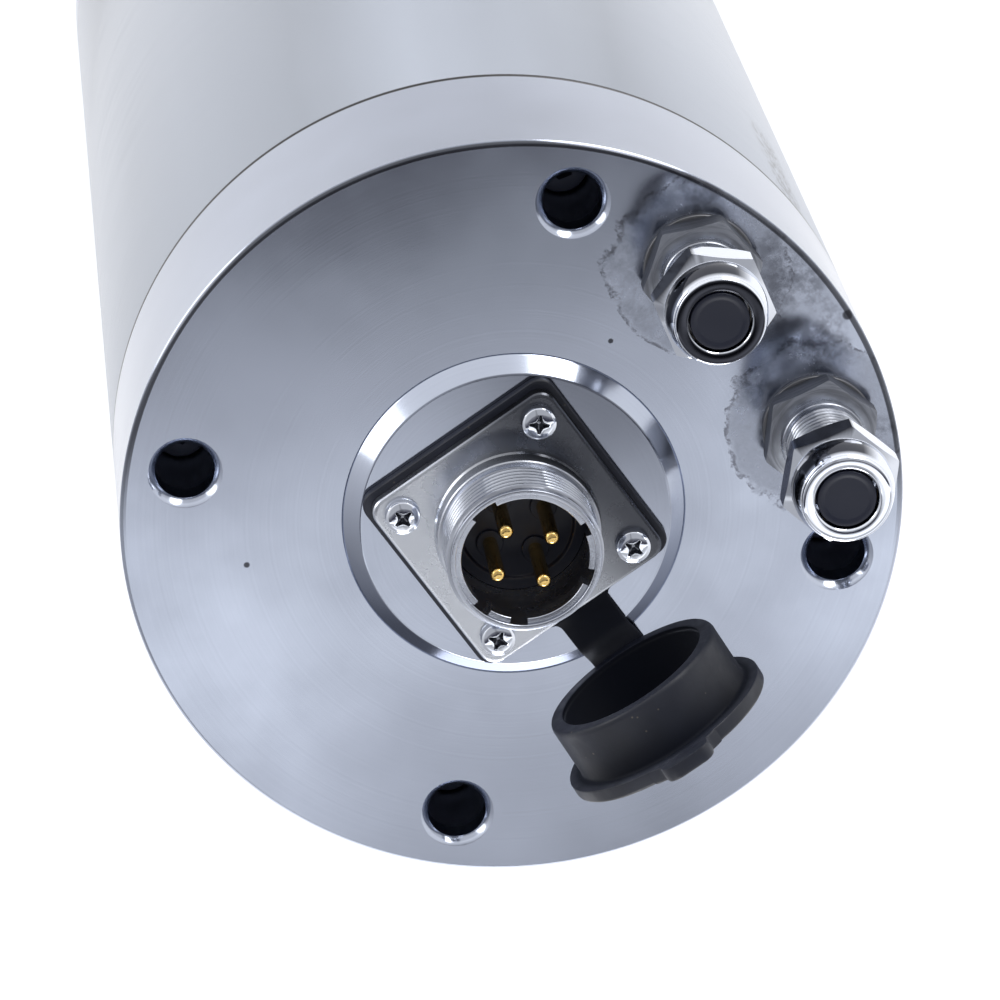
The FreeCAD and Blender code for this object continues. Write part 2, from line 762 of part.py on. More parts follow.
def build_bearing_pair(name, bore, outside, width, starts, ball, count):
    """Two ball bearings: outer rings, inner rings, balls and cages, each a node of two or more."""
    middle = (bore + outside) / 2
    outer_race = middle + ball * S.race_share
    inner_race = middle - ball * S.race_share
    outer_rings, inner_rings, cages = [], [], []
    for index, start in enumerate(starts):
        centre = start + width / 2
        for kind, group, big, small in (
                ("outer_ring", outer_rings, outside - 0.03, outer_race),
                ("inner_ring", inner_rings, inner_race, bore + 0.03)):
            label = "%s_%s_%d" % (name, kind, index)
            blank = ring(label + "_turned", big, small, start, width)
            track = torus(label + "_track", middle, ball + S.ball_gap, centre)
            group.append(cut(label, blank, track))
        label = "%s_cage_%d" % (name, index)
        cage = DOC.addObject("PartDesign::Body", label)
        low, high = start + S.cage_side_gap, start + width - S.cage_side_gap
        inner, outer = middle - S.cage_half, middle + S.cage_half
        turn_outline(cage, label + "_turned", [(inner, low), (outer, low), (outer, high), (inner, high)])
        pocket = stepped_ball(cage, label + "_pocket", middle, centre, ball + S.ball_gap, "PartDesign::Groove")
        polar(cage, label + "_pockets", [pocket], count)
        cages.append(cage)
    balls = DOC.addObject("PartDesign::Body", name + "_balls")
    spheres = [stepped_ball(balls, "%s_ball_%d" % (name, index), middle, start + width / 2, ball,
                            "PartDesign::Revolution") for index, start in enumerate(starts)]
    polar(balls, name + "_ball_rows", spheres, count)
    compound(name + "_outer_rings", outer_rings)
    compound(name + "_inner_rings", inner_rings)
    node(balls)
    compound(name + "_cages", cages)


def stepped_ball(body, name, circle, height, radius, kind):
    """A ball, or a ball-shaped pocket, beside the centre: a half disc turned about its own axis."""
    sketch = body.newObject("Sketcher::SketchObject", name + "_outline")
    sketch.AttachmentSupport = [(origin_feature(body, "XZ_Plane"), "")]
    sketch.MapMode = "FlatFace"
    centre = FreeCAD.Vector(circle.number, height.number, 0)
    round_edge = Part.Circle(centre, FreeCAD.Vector(0, 0, 1), radius.number)
    quarter = math.pi / 2
    arc = sketch.addGeometry(Part.ArcOfCircle(round_edge, -quarter, quarter), False)
    low = centre - FreeCAD.Vector(0, radius.number, 0)
    high = centre + FreeCAD.Vector(0, radius.number, 0)
    chord = sketch.addGeometry(Part.LineSegment(high, low), False)
    line = sketch.addGeometry(Part.LineSegment(high, low), True)
    sketch.addConstraint([
        Sketcher.Constraint("Coincident", arc, 2, chord, 1),
        Sketcher.Constraint("Coincident", arc, 1, chord, 2),
        Sketcher.Constraint("Coincident", line, 1, chord, 1),
        Sketcher.Constraint("Coincident", line, 2, chord, 2),
        Sketcher.Constraint("Vertical", chord),
        Sketcher.Constraint("PointOnObject", arc, 3, chord),
        Sketcher.Constraint("Radius", arc, radius.number),
        Sketcher.Constraint("DistanceX", -1, 1, arc, 3, centre.x),
        Sketcher.Constraint("DistanceY", -1, 1, arc, 3, centre.y)])
    for index, size in ((6, radius), (7, circle), (8, height)):
        bind(sketch, "Constraints[%d]" % index, size)
    feature = body.newObject(kind, name)
    feature.Profile = sketch
    feature.ReferenceAxis = (sketch, ["Axis0"])
    feature.Angle = 360
    return feature


def build_front_bearings():
    first = FRONT_BEARING_START
    second = first + S.front_bearing_width + S.front_spacer_length
    build_bearing_pair("front_bearing", S.front_bearing_bore, S.front_bearing_outside,
                       S.front_bearing_width, (first, second), S.front_ball, S.front_ball_count)
    gap = first + S.front_bearing_width
    node(ring("front_outer_spacer", S.front_bearing_outside - 0.03, S.front_bearing_outside - 3,
              gap, S.front_spacer_length))
    node(ring("front_inner_spacer", S.front_bearing_bore + 3, S.front_bearing_bore + 0.03,
              gap, S.front_spacer_length))
    nut_start = first - S.front_nut_length
    nut = turned_body("front_bearing_nut", [
        (S.front_bearing_bore + 0.05, nut_start), (S.front_nut_radius, nut_start),
        (S.front_nut_radius, first - 2), (S.front_shoulder, first - 2),
        (S.front_shoulder, first), (S.front_bearing_bore + 0.05, first)])
    slot = prism(nut, "spanner_slot",
                 rectangle(S.front_nut_radius - 4, S.front_nut_radius + 1,
                           -S.nut_slot_width / 2, S.nut_slot_width / 2),
                 nut_start, S.nut_slot_depth, "PartDesign::Pocket")
    polar(nut, "spanner_slots", [slot], as_size(4.0))


def build_rear_bearings():
    first = REAR_BEARING_START
    build_bearing_pair("rear_bearing", S.rear_bearing_bore, S.rear_bearing_outside,
                       S.rear_bearing_width, (first, first + S.rear_bearing_width),
                       S.rear_ball, S.rear_ball_count)
    nut = turned_body("rear_bearing_nut", [
        (S.rear_bearing_bore + 0.05, REAR_BEARING_END), (S.rear_nut_radius, REAR_BEARING_END),
        (S.rear_nut_radius, REAR_BEARING_END + S.rear_nut_length),
        (S.rear_bearing_bore + 0.05, REAR_BEARING_END + S.rear_nut_length)])
    slot = prism(nut, "rear_spanner_slot",
                 rectangle(S.rear_nut_radius - 2.5, S.rear_nut_radius + 1, -2.0, 2.0),
                 REAR_BEARING_END + S.rear_nut_length - 2.5, as_size(3.0), "PartDesign::Pocket")
    polar(nut, "rear_spanner_slots", [slot], as_size(4.0))

    # a disc spring presses the outer rings forward
    inner, outer = S.rear_bearing_outside - 3.2, S.rear_bearing_outside - 0.3
    low, high = REAR_BEARING_END, REAR_BEARING_END + S.spring_space
    turned_body("preload_spring", [
        (inner, high - S.spring_thickness), (outer, low), (outer, low + S.spring_thickness),
        (inner, high)])


def build_front_housing():
    radius, bevel = S.body_radius, S.front_edge_chamfer
    hub, seat = JACKET_BORE - S.fit_gap, S.front_bearing_outside
    hub_end = FRONT_BEARING_END + S.front_housing_lip
    groove = seal_groove(SPIGOT, FRONT_SEAM + 0.7)
    housing = turned_body("front_housing", [
        (seat, S.nose_length), (radius - bevel, S.nose_length), (radius, S.nose_length + bevel),
        (radius, FRONT_SEAM - 0.2), (radius - 0.2, FRONT_SEAM), (SPIGOT, FRONT_SEAM)] + groove + [
        (SPIGOT, JACKET_START), (hub, JACKET_START), (hub, hub_end),
        (seat - S.housing_lip_depth, hub_end), (seat - S.housing_lip_depth, FRONT_BEARING_END),
        (seat, FRONT_BEARING_END)])
    shank = S.cap_screw_shank + S.fit_gap
    stepped(housing, "cap_screw_holes", SCREW_CIRCLE, S.cap_screw_angle, [
        (S.rear_counterbore, S.nose_length - 1), (S.rear_counterbore, FRONT_HEAD_SEAT),
        (shank, FRONT_HEAD_SEAT), (shank, JACKET_START + 1)], count=S.cap_screw_count)
    thread = S.front_cover_screw_shank + S.fit_gap
    stepped(housing, "cover_screw_holes", S.front_cover_screw_circle, ZERO, [
        (thread, S.nose_length - 1), (thread, S.nose_length + S.front_cover_screw_length)],
        count=S.front_cover_screw_count)
    node(torus("front_seal_ring", SEAL_RING_RADIUS, S.seal_cord_radius,
               FRONT_SEAM + 0.7 + S.seal_groove_width / 2))
    cap_screws("front_cap_screws", FRONT_HEAD_SEAT, FRONT_SCREW_TIP)


def cap_screws(label, seat, tip):
    """Socket head cap screws on the common circle; the head lies away from the tip."""
    toward = 1.0 if tip.number < seat.number else -1.0
    top = seat + toward * S.cap_screw_head_height
    socket_depth = 2.0
    screws = DOC.addObject("PartDesign::Body", label)
    steps = [(S.cap_screw_shank, tip), (S.cap_screw_shank, seat), (S.cap_screw_head, seat),
             (S.cap_screw_head, top - toward * 0.4), (S.cap_screw_head - 0.4, top)]
    across = SCREW_CIRCLE * cosine(S.cap_screw_angle)
    along = SCREW_CIRCLE * sine(S.cap_screw_angle)
    bottom = top - socket_depth if toward > 0 else top

    def socket(body):
        corners = polygon(S.cap_screw_socket, S.cap_screw_angle, 6, across, along)
        return prism(body, label + "_socket", corners, bottom, as_size(socket_depth), "PartDesign::Pocket")

    stepped(screws, label + "_turned", SCREW_CIRCLE, S.cap_screw_angle, steps,
            "PartDesign::Revolution", S.cap_screw_count, [socket])
    node(screws)


def build_front_cover():
    face = S.nose_length - S.front_cover_length
    bore = S.front_bearing_bore - 0.2 + S.running_gap
    nut_start = FRONT_BEARING_START - S.front_nut_length
    outer = S.front_bearing_outside - S.fit_gap
    inner = S.front_nut_radius + S.running_gap + 0.1
    cover = turned_body("front_cover", [
        (bore, face), (S.front_cover_radius - 1, face), (S.front_cover_radius, face + 1),
        (S.front_cover_radius, S.nose_length), (outer, S.nose_length),
        (outer, FRONT_BEARING_START), (inner, FRONT_BEARING_START),
        (inner, nut_start - 1), (bore, nut_start - 1)])
    seat = face + S.front_cover_counterbore_depth
    shank = S.front_cover_screw_shank + 0.2
    stepped(cover, "front_cover_holes", S.front_cover_screw_circle, ZERO, [
        (S.front_cover_counterbore, face - 1), (S.front_cover_counterbore, seat),
        (shank, seat), (shank, S.nose_length + 1)], count=S.front_cover_screw_count)
    top = seat - S.front_cover_screw_head_height
    label = "front_cover_screws"
    screws = DOC.addObject("PartDesign::Body", label)

    def socket(body):
        corners = polygon(S.front_cover_screw_socket, ZERO, 6, S.front_cover_screw_circle)
        return prism(body, label + "_socket", corners, top, as_size(1.5), "PartDesign::Pocket")

    head = S.front_cover_screw_head
    stepped(screws, label + "_turned", S.front_cover_screw_circle, ZERO, [
        (head - 0.3, top), (head, top + 0.3), (head, seat), (S.front_cover_screw_shank, seat),
        (S.front_cover_screw_shank, S.nose_length + S.front_cover_screw_length - 1)],
        "PartDesign::Revolution", S.front_cover_screw_count, [socket])
    node(screws)


def collet_outline():
    """Corners of the collet's outer side from the front face backwards."""
    face = S.collet_recess
    rim = face + S.collet_cone_length
    groove = rim + S.collet_rim_length
    end = face + S.collet_length
    tail_radius = S.collet_radius - (end - COLLET_TAPER_START) * tangent(S.taper_angle)
    return [(S.collet_bore, face), (S.collet_face_radius, face), (S.collet_radius, rim),
            (S.collet_radius, groove), (S.collet_groove_radius, groove),
            (S.collet_groove_radius, COLLET_TAPER_START), (S.collet_radius, COLLET_TAPER_START),
            (tail_radius, end), (S.collet_bore, end)]


def build_collet_and_nut():
    collet = turned_body("collet", collet_outline())
    half, far = S.slit_width / 2, S.collet_radius + 1
    front = prism(collet, "front_slit", spoke(S.slit_angle, ZERO, far, half),
                  S.collet_recess - 1, S.slit_length + 1, "PartDesign::Pocket")
    polar(collet, "front_slits", [front], S.slit_count)
    rear = prism(collet, "rear_slit", spoke(S.slit_angle + as_size(180.0) / S.slit_count, ZERO, far, half),
                 S.collet_recess + S.collet_length - S.slit_length, S.slit_length + 1,
                 "PartDesign::Pocket")
    polar(collet, "rear_slits", [rear], S.slit_count)

    gap = S.nut_axial_gap
    cone_end = S.collet_recess + S.collet_cone_length - gap
    pocket_end = S.collet_recess + S.collet_cone_length + S.collet_rim_length + gap
    lip_end = COLLET_TAPER_START - gap
    thread = S.nose_thread + 0.1
    relief = thread + 0.3
    outer, end, bevel = S.collet_nut_radius, S.collet_nut_length, S.collet_nut_chamfer
    nut = turned_body("collet_nut", [
        (S.collet_face_radius, 0), (outer - bevel, 0), (outer, bevel), (outer, end - bevel / 2),
        (outer - bevel / 2, end), (relief + 0.4, end), (thread, end - 0.8),
        (thread, S.nut_thread_start), (relief, S.nut_thread_start), (relief, lip_end),
        (S.nut_lip_radius, lip_end), (S.nut_lip_radius, pocket_end),
        (S.collet_radius + 0.25, pocket_end), (S.collet_radius + 0.25, cone_end),
        (S.collet_radius, cone_end), (S.collet_face_radius, S.collet_recess - gap)])
    mill_flats(nut, "nut_flats", S.collet_nut_flats, ZERO, as_size(-1.0), end + 2, outer + 3)


def build_rear_housing():
    seat = S.rear_bearing_outside
    hub_start = REAR_BEARING_START - S.rear_hub_lip
    housing = turned_body("rear_bearing_housing", [
        (seat - S.rear_hub_lip, hub_start), (S.rear_hub_radius, hub_start),
        (S.rear_hub_radius, JACKET_END), (SPIGOT, JACKET_END), (SPIGOT, REAR_HOUSING_END),
        (seat, REAR_HOUSING_END), (seat, REAR_BEARING_START),
        (seat - S.rear_hub_lip, REAR_BEARING_START)])
    shank = S.cap_screw_shank + S.fit_gap
    low, high = JACKET_END - 1, REAR_HOUSING_END + 1
    stepped(housing, "housing_screw_holes", SCREW_CIRCLE, S.cap_screw_angle,
            [(shank, low), (shank, high)], count=S.cap_screw_count)
    for name, angle in (("inlet", S.inlet_angle), ("outlet", S.outlet_angle)):
        stepped(housing, name + "_passage", PASSAGE_CIRCLE, angle,
                [(S.passage_radius, low), (S.passage_radius, high)])
    stepped(housing, "wire_hole", S.wire_hole_circle, as_size(270.0),
            [(S.wire_hole_radius, low), (S.wire_hole_radius, high)])
    thread = S.cover_screw_shank + S.fit_gap
    tip = REAR_HOUSING_END + S.cover_thickness - S.cover_screw_length
    stepped(housing, "cover_threads", S.cover_screw_circle, S.cap_screw_angle,
            [(thread, tip - 1), (thread, high)], count=as_size(4.0))

    clear = S.rear_nut_radius + 1
    cover = turned_body("rear_bearing_cover", [
        (clear, REAR_HOUSING_END), (seat - 3.5, REAR_HOUSING_END),
        (seat - 3.5, REAR_HOUSING_END - S.cover_spigot), (seat - 0.1, REAR_HOUSING_END - S.cover_spigot),
        (seat - 0.1, REAR_HOUSING_END), (S.rear_hub_radius + 0.3, REAR_HOUSING_END),
        (S.rear_hub_radius + 0.3, REAR_HOUSING_END + S.cover_thickness),
        (clear, REAR_HOUSING_END + S.cover_thickness)])
    stepped(cover, "cover_holes", S.cover_screw_circle, S.cap_screw_angle,
            [(thread, REAR_HOUSING_END - 3), (thread, REAR_HOUSING_END + S.cover_thickness + 1)],
            count=as_size(4.0))
    screws = DOC.addObject("PartDesign::Body", "rear_cover_screws")
    seat_height = REAR_HOUSING_END + S.cover_thickness
    head_top = seat_height + S.cover_screw_head_height
    stepped(screws, "rear_cover_screw", S.cover_screw_circle, S.cap_screw_angle, [
        (S.cover_screw_shank, tip), (S.cover_screw_shank, seat_height),
        (S.cover_screw_head, seat_height), (S.cover_screw_head, head_top - 0.5),
        (S.cover_screw_head - 0.5, head_top)], "PartDesign::Revolution", as_size(4.0))
    node(screws)


def build_rear_cap():
    radius, bevel = S.body_radius, S.edge_chamfer
    ceiling = REAR - S.rear_wall
    cap = turned_body("rear_cap", [
        (S.connector_hole, ceiling), (CAVITY_RADIUS, ceiling),
        (CAVITY_RADIUS, REAR_HOUSING_END), (SPIGOT, REAR_HOUSING_END)]
        + seal_groove(SPIGOT, REAR_HOUSING_END + 0.7) + [
        (SPIGOT, REAR_SEAM), (radius - bevel / 2, REAR_SEAM), (radius, REAR_SEAM + bevel / 2),
        (radius, REAR - bevel), (radius - bevel, REAR), (S.boss_radius, REAR),
        (S.boss_radius - S.boss_height, BOSS_TOP), (S.connector_hole, BOSS_TOP)])
    sink = S.rear_counterbore + S.countersink_width
    shank = S.cap_screw_shank + S.fit_gap
    stepped(cap, "cap_screw_bores", SCREW_CIRCLE, S.cap_screw_angle, [
        (shank, REAR_HOUSING_END - 1), (shank, REAR_HEAD_SEAT),
        (S.rear_counterbore, REAR_HEAD_SEAT), (S.rear_counterbore, REAR - S.countersink_width),
        (sink, REAR), (sink, REAR + 1)], count=S.cap_screw_count)
    for name, angle in (("inlet", S.inlet_angle), ("outlet", S.outlet_angle)):
        port_floor = REAR - S.port_depth - 1
        stepped(cap, name + "_passage", PASSAGE_CIRCLE, angle,
                [(S.passage_radius, REAR_HOUSING_END - 1), (S.passage_radius, port_floor + 1)])
        stepped(cap, name + "_port", PORT_CIRCLE, angle,
                [(S.port_thread + S.fit_gap, port_floor), (S.port_thread + S.fit_gap, REAR + 1)])
    thread = S.panel_screw_shank + S.fit_gap
    stepped(cap, "panel_screw_threads", S.panel_screw_circle, as_size(45.0), [
        (thread, FLANGE_TOP - S.panel_screw_length - 0.5), (thread, BOSS_TOP + 1)],
        count=as_size(4.0))
    node(torus("rear_seal_ring", SEAL_RING_RADIUS, S.seal_cord_radius,
               REAR_HOUSING_END + 0.7 + S.seal_groove_width / 2))
    cap_screws("rear_cap_screws", REAR_HEAD_SEAT, REAR_SCREW_TIP)


def build_connector():
    gasket_half = S.gasket_side / 2
    gasket = node(DOC.addObject("PartDesign::Body", "connector_gasket"))
    sheet = prism(gasket, "gasket_sheet", rectangle(-gasket_half, gasket_half, -gasket_half, gasket_half),
                  BOSS_TOP, S.gasket_thickness)
    round_upright_edges(gasket, "gasket_corners", sheet, S.gasket_corner)
    hole = circle_sketch(gasket, "gasket_hole_outline", [(0, 0, S.connector_hole + 0.2)], BOSS_TOP)
    push(gasket, "gasket_hole", hole, S.gasket_thickness, "PartDesign::Pocket")
    shank = S.panel_screw_shank + 0.15
    stepped(gasket, "gasket_screw_holes", S.panel_screw_circle, as_size(45.0),
            [(shank, BOSS_TOP - 1), (shank, GASKET_TOP + 1)], count=as_size(4.0))

    half = S.flange_side / 2
    shell = node(DOC.addObject("PartDesign::Body", "connector_shell"))
    plate = prism(shell, "flange", rectangle(-half, half, -half, half), GASKET_TOP, S.flange_thickness)
    round_upright_edges(shell, "flange_corners", plate, S.flange_corner)
    tail = GASKET_TOP - S.shell_tail_length
    collar_top = FLANGE_TOP + S.collar_length
    root = S.thread_radius - S.thread_depth
    turns = int(S.thread_turns.number)
    barrel = [(S.shell_bore, tail), (S.shell_tail_radius, tail), (S.shell_tail_radius, FLANGE_TOP - 0.5),
              (S.collar_radius, FLANGE_TOP - 0.5), (S.collar_radius, collar_top - S.collar_chamfer),
              (S.collar_radius - S.collar_chamfer, collar_top)]
    barrel += ridges(S.thread_radius, root, collar_top, S.thread_pitch, turns)
    barrel += [(root, BARREL_TOP - 0.2), (root - 0.2, BARREL_TOP), (S.shell_bore, BARREL_TOP)]
    turn_outline(shell, "barrel", barrel)
    bore = circle_sketch(shell, "shell_bore_outline", [(0, 0, S.shell_bore)], tail - 1)
    push(shell, "shell_bore_cut", bore, BARREL_TOP - tail + 2, "PartDesign::Pocket")
    lip_top = BARREL_TOP - S.key_lip_recess
    lip_bottom = lip_top - S.key_lip_length
    turn_outline(shell, "key_lip", [
        (S.key_lip_radius, lip_bottom), (S.shell_bore + 0.2, lip_bottom),
        (S.shell_bore + 0.2, lip_top), (S.key_lip_radius, lip_top)])
    # keyways in the lip: middle angle and half width of each
    keyways = ((183.0, 11.5), (81.0, 6.5), (36.0, 8.0), (-41.0, 7.5), (-75.0, 7.5))
    for index, (angle, spread) in enumerate(keyways):
        side = S.shell_bore * math.sin(math.radians(spread))
        prism(shell, "keyway_%d" % index,
              spoke(as_size(angle), S.key_lip_radius - 1.5, S.shell_bore - 0.02, side),
              lip_bottom - 0.5, S.key_lip_length + 1, "PartDesign::Pocket")
    stepped(shell, "flange_screw_holes", S.panel_screw_circle, as_size(45.0),
            [(shank, GASKET_TOP - 1), (shank, FLANGE_TOP + 1)], count=as_size(4.0))

    insert_start = INSERT_FACE - S.pin_tail_length + S.cup_length
    insert = turned_body("connector_insert", [
        (0, insert_start), (S.shell_bore - S.fit_gap, insert_start),
        (S.shell_bore - S.fit_gap, INSERT_FACE), (0, INSERT_FACE)])
    stepped(insert, "pin_holes", S.pin_circle, ZERO,
            [(S.pin_radius + 0.03, insert_start - 1), (S.pin_radius + 0.03, INSERT_FACE + 1)],
            count=as_size(4.0))

    pins = DOC.addObject("PartDesign::Body", "connector_pins")
    tip = REAR + S.pin_tip_height
    stepped(pins, "pin", S.pin_circle, ZERO, [
        (S.cup_radius, INSERT_FACE - S.pin_tail_length), (S.cup_radius, insert_start - 0.05),
        (S.pin_radius, insert_start - 0.05), (S.pin_radius, tip - S.pin_tip_chamfer),
        (S.pin_radius - S.pin_tip_chamfer, tip)], "PartDesign::Revolution", as_size(4.0))
    node(pins)

    label = "connector_screws"
    screws = DOC.addObject("PartDesign::Body", label)
    head, height = S.panel_screw_head, S.panel_screw_head_height
    place_x = S.panel_screw_circle * cosine(as_size(45.0))
    long, thin = S.cross_length, S.cross_width
    cross = [(long, -thin), (long, thin), (thin, thin), (thin, long), (-thin, long), (-thin, thin),
             (-long, thin), (-long, -thin), (-thin, -thin), (-thin, -long), (thin, -long), (thin, -thin)]

    def recess(body):
        corners = [(place_x + x, place_x + y) for x, y in cross]
        return prism(body, label + "_recess", corners, FLANGE_TOP + height - S.cross_depth,
                     S.cross_depth + 0.1, "PartDesign::Pocket")

    stepped(screws, label + "_turned", S.panel_screw_circle, as_size(45.0), [
        (S.panel_screw_shank, FLANGE_TOP - S.panel_screw_length), (S.panel_screw_shank, FLANGE_TOP),
        (head, FLANGE_TOP), (head, FLANGE_TOP + height * 0.4), (head * 0.88, FLANGE_TOP + height * 0.75),
        (head * 0.62, FLANGE_TOP + height)], "PartDesign::Revolution", as_size(4.0), [recess])
    node(screws)


def build_dust_cap():
    mouth = REAR + S.cap_mouth_height
    under = mouth + S.cap_depth
    top = under + S.cap_disc_thickness
    disc, edge = S.cap_disc_radius, S.cap_disc_rounding
    cap = turned_body("dust_cap", [
        (0, under), (S.cap_bore, under), (S.cap_bore, mouth), (S.cap_cup_radius, mouth),
        (S.cap_cup_radius, under), (disc, under), (disc, top - edge), (disc - edge, top), (0, top)])
    tab_end = disc + S.cap_tab_reach
    tab = prism(cap, "lift_tab",
                rectangle(-tab_end, -(disc - 1), -S.cap_tab_half_width, S.cap_tab_half_width),
                top - S.cap_tab_thickness - 0.2, S.cap_tab_thickness)
    DOC.recompute()
    corners = []
    for index, item in enumerate(tab.Shape.Edges, start=1):
        ends = [vertex.Point for vertex in item.Vertexes]
        upright = len(ends) == 2 and abs(ends[0].x - ends[1].x) < 1e-6 and abs(ends[0].y - ends[1].y) < 1e-6
        if upright and abs(ends[0].x + tab_end.number) < 1e-6:
            corners.append("Edge%d" % index)
    fillet = cap.newObject("PartDesign::Fillet", "tab_corners")
    fillet.Base = (tab, corners)
    bind(fillet, "Radius", S.cap_tab_corner)
    # the cap is drawn closed and swung open about the strap's bend
    bind_swing(cap)

    strap = node(DOC.addObject("PartDesign::Body", "dust_cap_strap"))
    thick = S.strap_thickness
    level = BOSS_TOP + 0.1
    low = REAR + 0.15
    corners = [(S.strap_start, level), (S.strap_crest, level), (S.strap_foot, low), (S.strap_end, low),
               (S.strap_end, low + thick), (S.strap_foot + 0.3, low + thick),
               (S.strap_crest + 0.3, level + thick), (S.strap_start, level + thick)]
    sketch = outline_sketch(strap, "XZ_Plane", "strap_outline", corners)
    band = strap.newObject("PartDesign::Pad", "strap_band")
    band.Profile = sketch
    band.SideType = "Symmetric"
    bind(band, "Length", 2 * S.strap_half_width)
    flare, reach = S.strap_half_width + S.strap_flare, S.strap_start + S.strap_flare
    prism(strap, "strap_root", [
        (S.strap_start, -flare), (reach, -S.strap_half_width),
        (reach, S.strap_half_width), (S.strap_start, flare)], level, thick)


def bind_swing(body):
    """Turn a piece that is drawn closed to its open rest about the strap's bend."""
    axis = "vector(%s; 1; %s)" % (S.hinge_lean.text, S.hinge_tip.text)
    centre = "vector(%s; 0; %s)" % (S.hinge_reach.text, (REAR - S.hinge_drop).text)
    turn = "rotation(%s; %s)" % (axis, S.swing_angle.text)
    body.setExpression("Placement", "placement(vector(0; 0; 0); %s; %s)" % (turn, centre))


def build_fitting(name, angle, nut_height, hexagon_turn, nut_turn):
    """One water fitting on the rear face, each piece drawn about its own axis."""
    across, along = PORT_CIRCLE * cosine(angle), PORT_CIRCLE * sine(angle)
    washer_top = S.washer_thickness
    corner = S.fitting_hexagon_corner
    hexagon_top = washer_top + S.fitting_hexagon_height
    collar_top = hexagon_top + S.fitting_collar_height
    turns = int(S.fitting_turns.number)
    thread_end = collar_top + turns * S.fitting_pitch
    tip = thread_end + 0.2
    root = S.fitting_thread - S.fitting_thread_depth
    outline = [(S.port_bore, -S.port_depth), (S.port_thread - 0.5, -S.port_depth),
               (S.port_thread, 0.5 - S.port_depth), (S.port_thread, washer_top), (corner, washer_top),
               (corner, hexagon_top - 0.5), (corner - 0.8, hexagon_top), (S.fitting_collar, hexagon_top),
               (S.fitting_collar, collar_top)]
    outline += ridges(S.fitting_thread, root, collar_top, S.fitting_pitch, turns)
    outline += [(root, tip), (S.port_bore, tip)]
    body = turned_body(name + "_fitting_body", outline)
    mill_flats(body, name + "_hexagon", S.fitting_flats, hexagon_turn, washer_top,
               S.fitting_hexagon_height, corner + 3)
    place(body, across, along, REAR)

    washer = node(ring(name + "_sealing_washer", S.washer_radius, S.port_thread + 0.1, ZERO,
                       S.washer_thickness))
    place(washer, across, along, REAR)

    mouth, bore_start = S.union_length, S.union_bore_start
    nut = turned_body(name + "_union_nut", [
        (S.union_thread + 0.4, 0), (S.fitting_flats / 2 + 0.1, 0), (corner, 0.9),
        (corner, S.union_hexagon_height - 0.9), (S.union_collar, S.union_hexagon_height),
        (S.union_collar, S.union_hexagon_height + 1.6), (S.union_collar - 0.35, mouth - 1.5),
        (S.union_mouth + 0.2, mouth - 0.3), (S.union_mouth, mouth), (S.union_bore + 0.1, mouth),
        (S.union_bore, mouth - 0.15), (S.union_bore, bore_start),
        (S.union_thread, S.union_thread_length), (S.union_thread, 0.4)])
    mill_flats(nut, name + "_nut_flats", S.fitting_flats, nut_turn, ZERO,
               S.union_hexagon_height, corner + 3)
    place(nut, across, along, REAR + nut_height)

    seat = S.union_thread_length
    ferrule = turned_body(name + "_ferrule", [
        (S.union_bore + 0.05, seat - 0.1), (S.union_thread - 0.15, seat - 0.1),
        (S.union_bore + 0.2, seat - 0.1 + S.ferrule_length),
        (S.union_bore + 0.05, seat - 0.1 + S.ferrule_length)])
    place(ferrule, across, along, REAR + nut_height)

    face = S.union_length - S.plug_recess
    head_start = face - S.plug_head_length
    plug = turned_body(name + "_plug", [
        (0, head_start - S.plug_stem_length), (S.plug_stem, head_start - S.plug_stem_length),
        (S.plug_stem, head_start), (S.plug_head, head_start), (S.plug_head, face - 0.15),
        (S.plug_head - 0.15, face), (0, face)])
    place(plug, across, along, REAR + nut_height)


def build_leads():
    """Four leads rise through the wire hole, turn inwards and rise again to the solder cups."""
    start = STATOR_END + S.end_turn_length
    top = INSERT_FACE - S.pin_tail_length
    # corner of the bundle, pin that it runs to and order of height, for each lead
    routes = ((1, 1, 0, 1, 0), (-1, 1, -1, 0, 1), (1, -1, 1, 0, 2), (-1, -1, 0, -1, 3))
    wires = []
    for side, depth, pin_x, pin_y, order in routes:
        foot = FreeCAD.Vector(side * S.lead_spread.number,
                              depth * S.lead_spread.number - S.wire_hole_circle.number, 0)
        head = FreeCAD.Vector(pin_x * S.pin_circle.number, pin_y * S.pin_circle.number, 0)
        level = (REAR - S.lead_drop).number + order * S.lead_step.number
        wires.append(lead(foot, head, start.number + 0.05, level, top.number - 0.05))
    leads = DOC.addObject("Part::Feature", "phase_leads")
    leads.Shape = Part.makeCompound(wires)
    node(leads)


def lead(foot, head, bottom, level, top):
    """A wire of two upright runs and a level one, joined by tangent arcs."""
    bend = min(S.lead_bend.number, top - level - 0.5)
    along = (head - foot).normalize()
    up = FreeCAD.Vector(0, 0, 1)
    slack = bend * (1 - math.sqrt(0.5))

    def at(place_, height):
        return place_ + up * height

    first = [at(foot, bottom), at(foot, level - bend), at(foot, level) + along * bend]
    knee_one = at(foot, level) + (along - up) * slack
    second = [at(head, level) - along * bend, at(head, level + bend), at(head, top)]
    knee_two = at(head, level) + (up - along) * slack
    edges = [Part.LineSegment(first[0], first[1]).toShape(),
             Part.Arc(first[1], knee_one, first[2]).toShape(),
             Part.LineSegment(first[2], second[0]).toShape(),
             Part.Arc(second[0], knee_two, second[1]).toShape(),
             Part.LineSegment(second[1], second[2]).toShape()]
    rim = Part.Wire([Part.makeCircle(S.lead_radius.number, first[0], up)])
    return Part.Wire(edges).makePipeShell([rim], True, True)


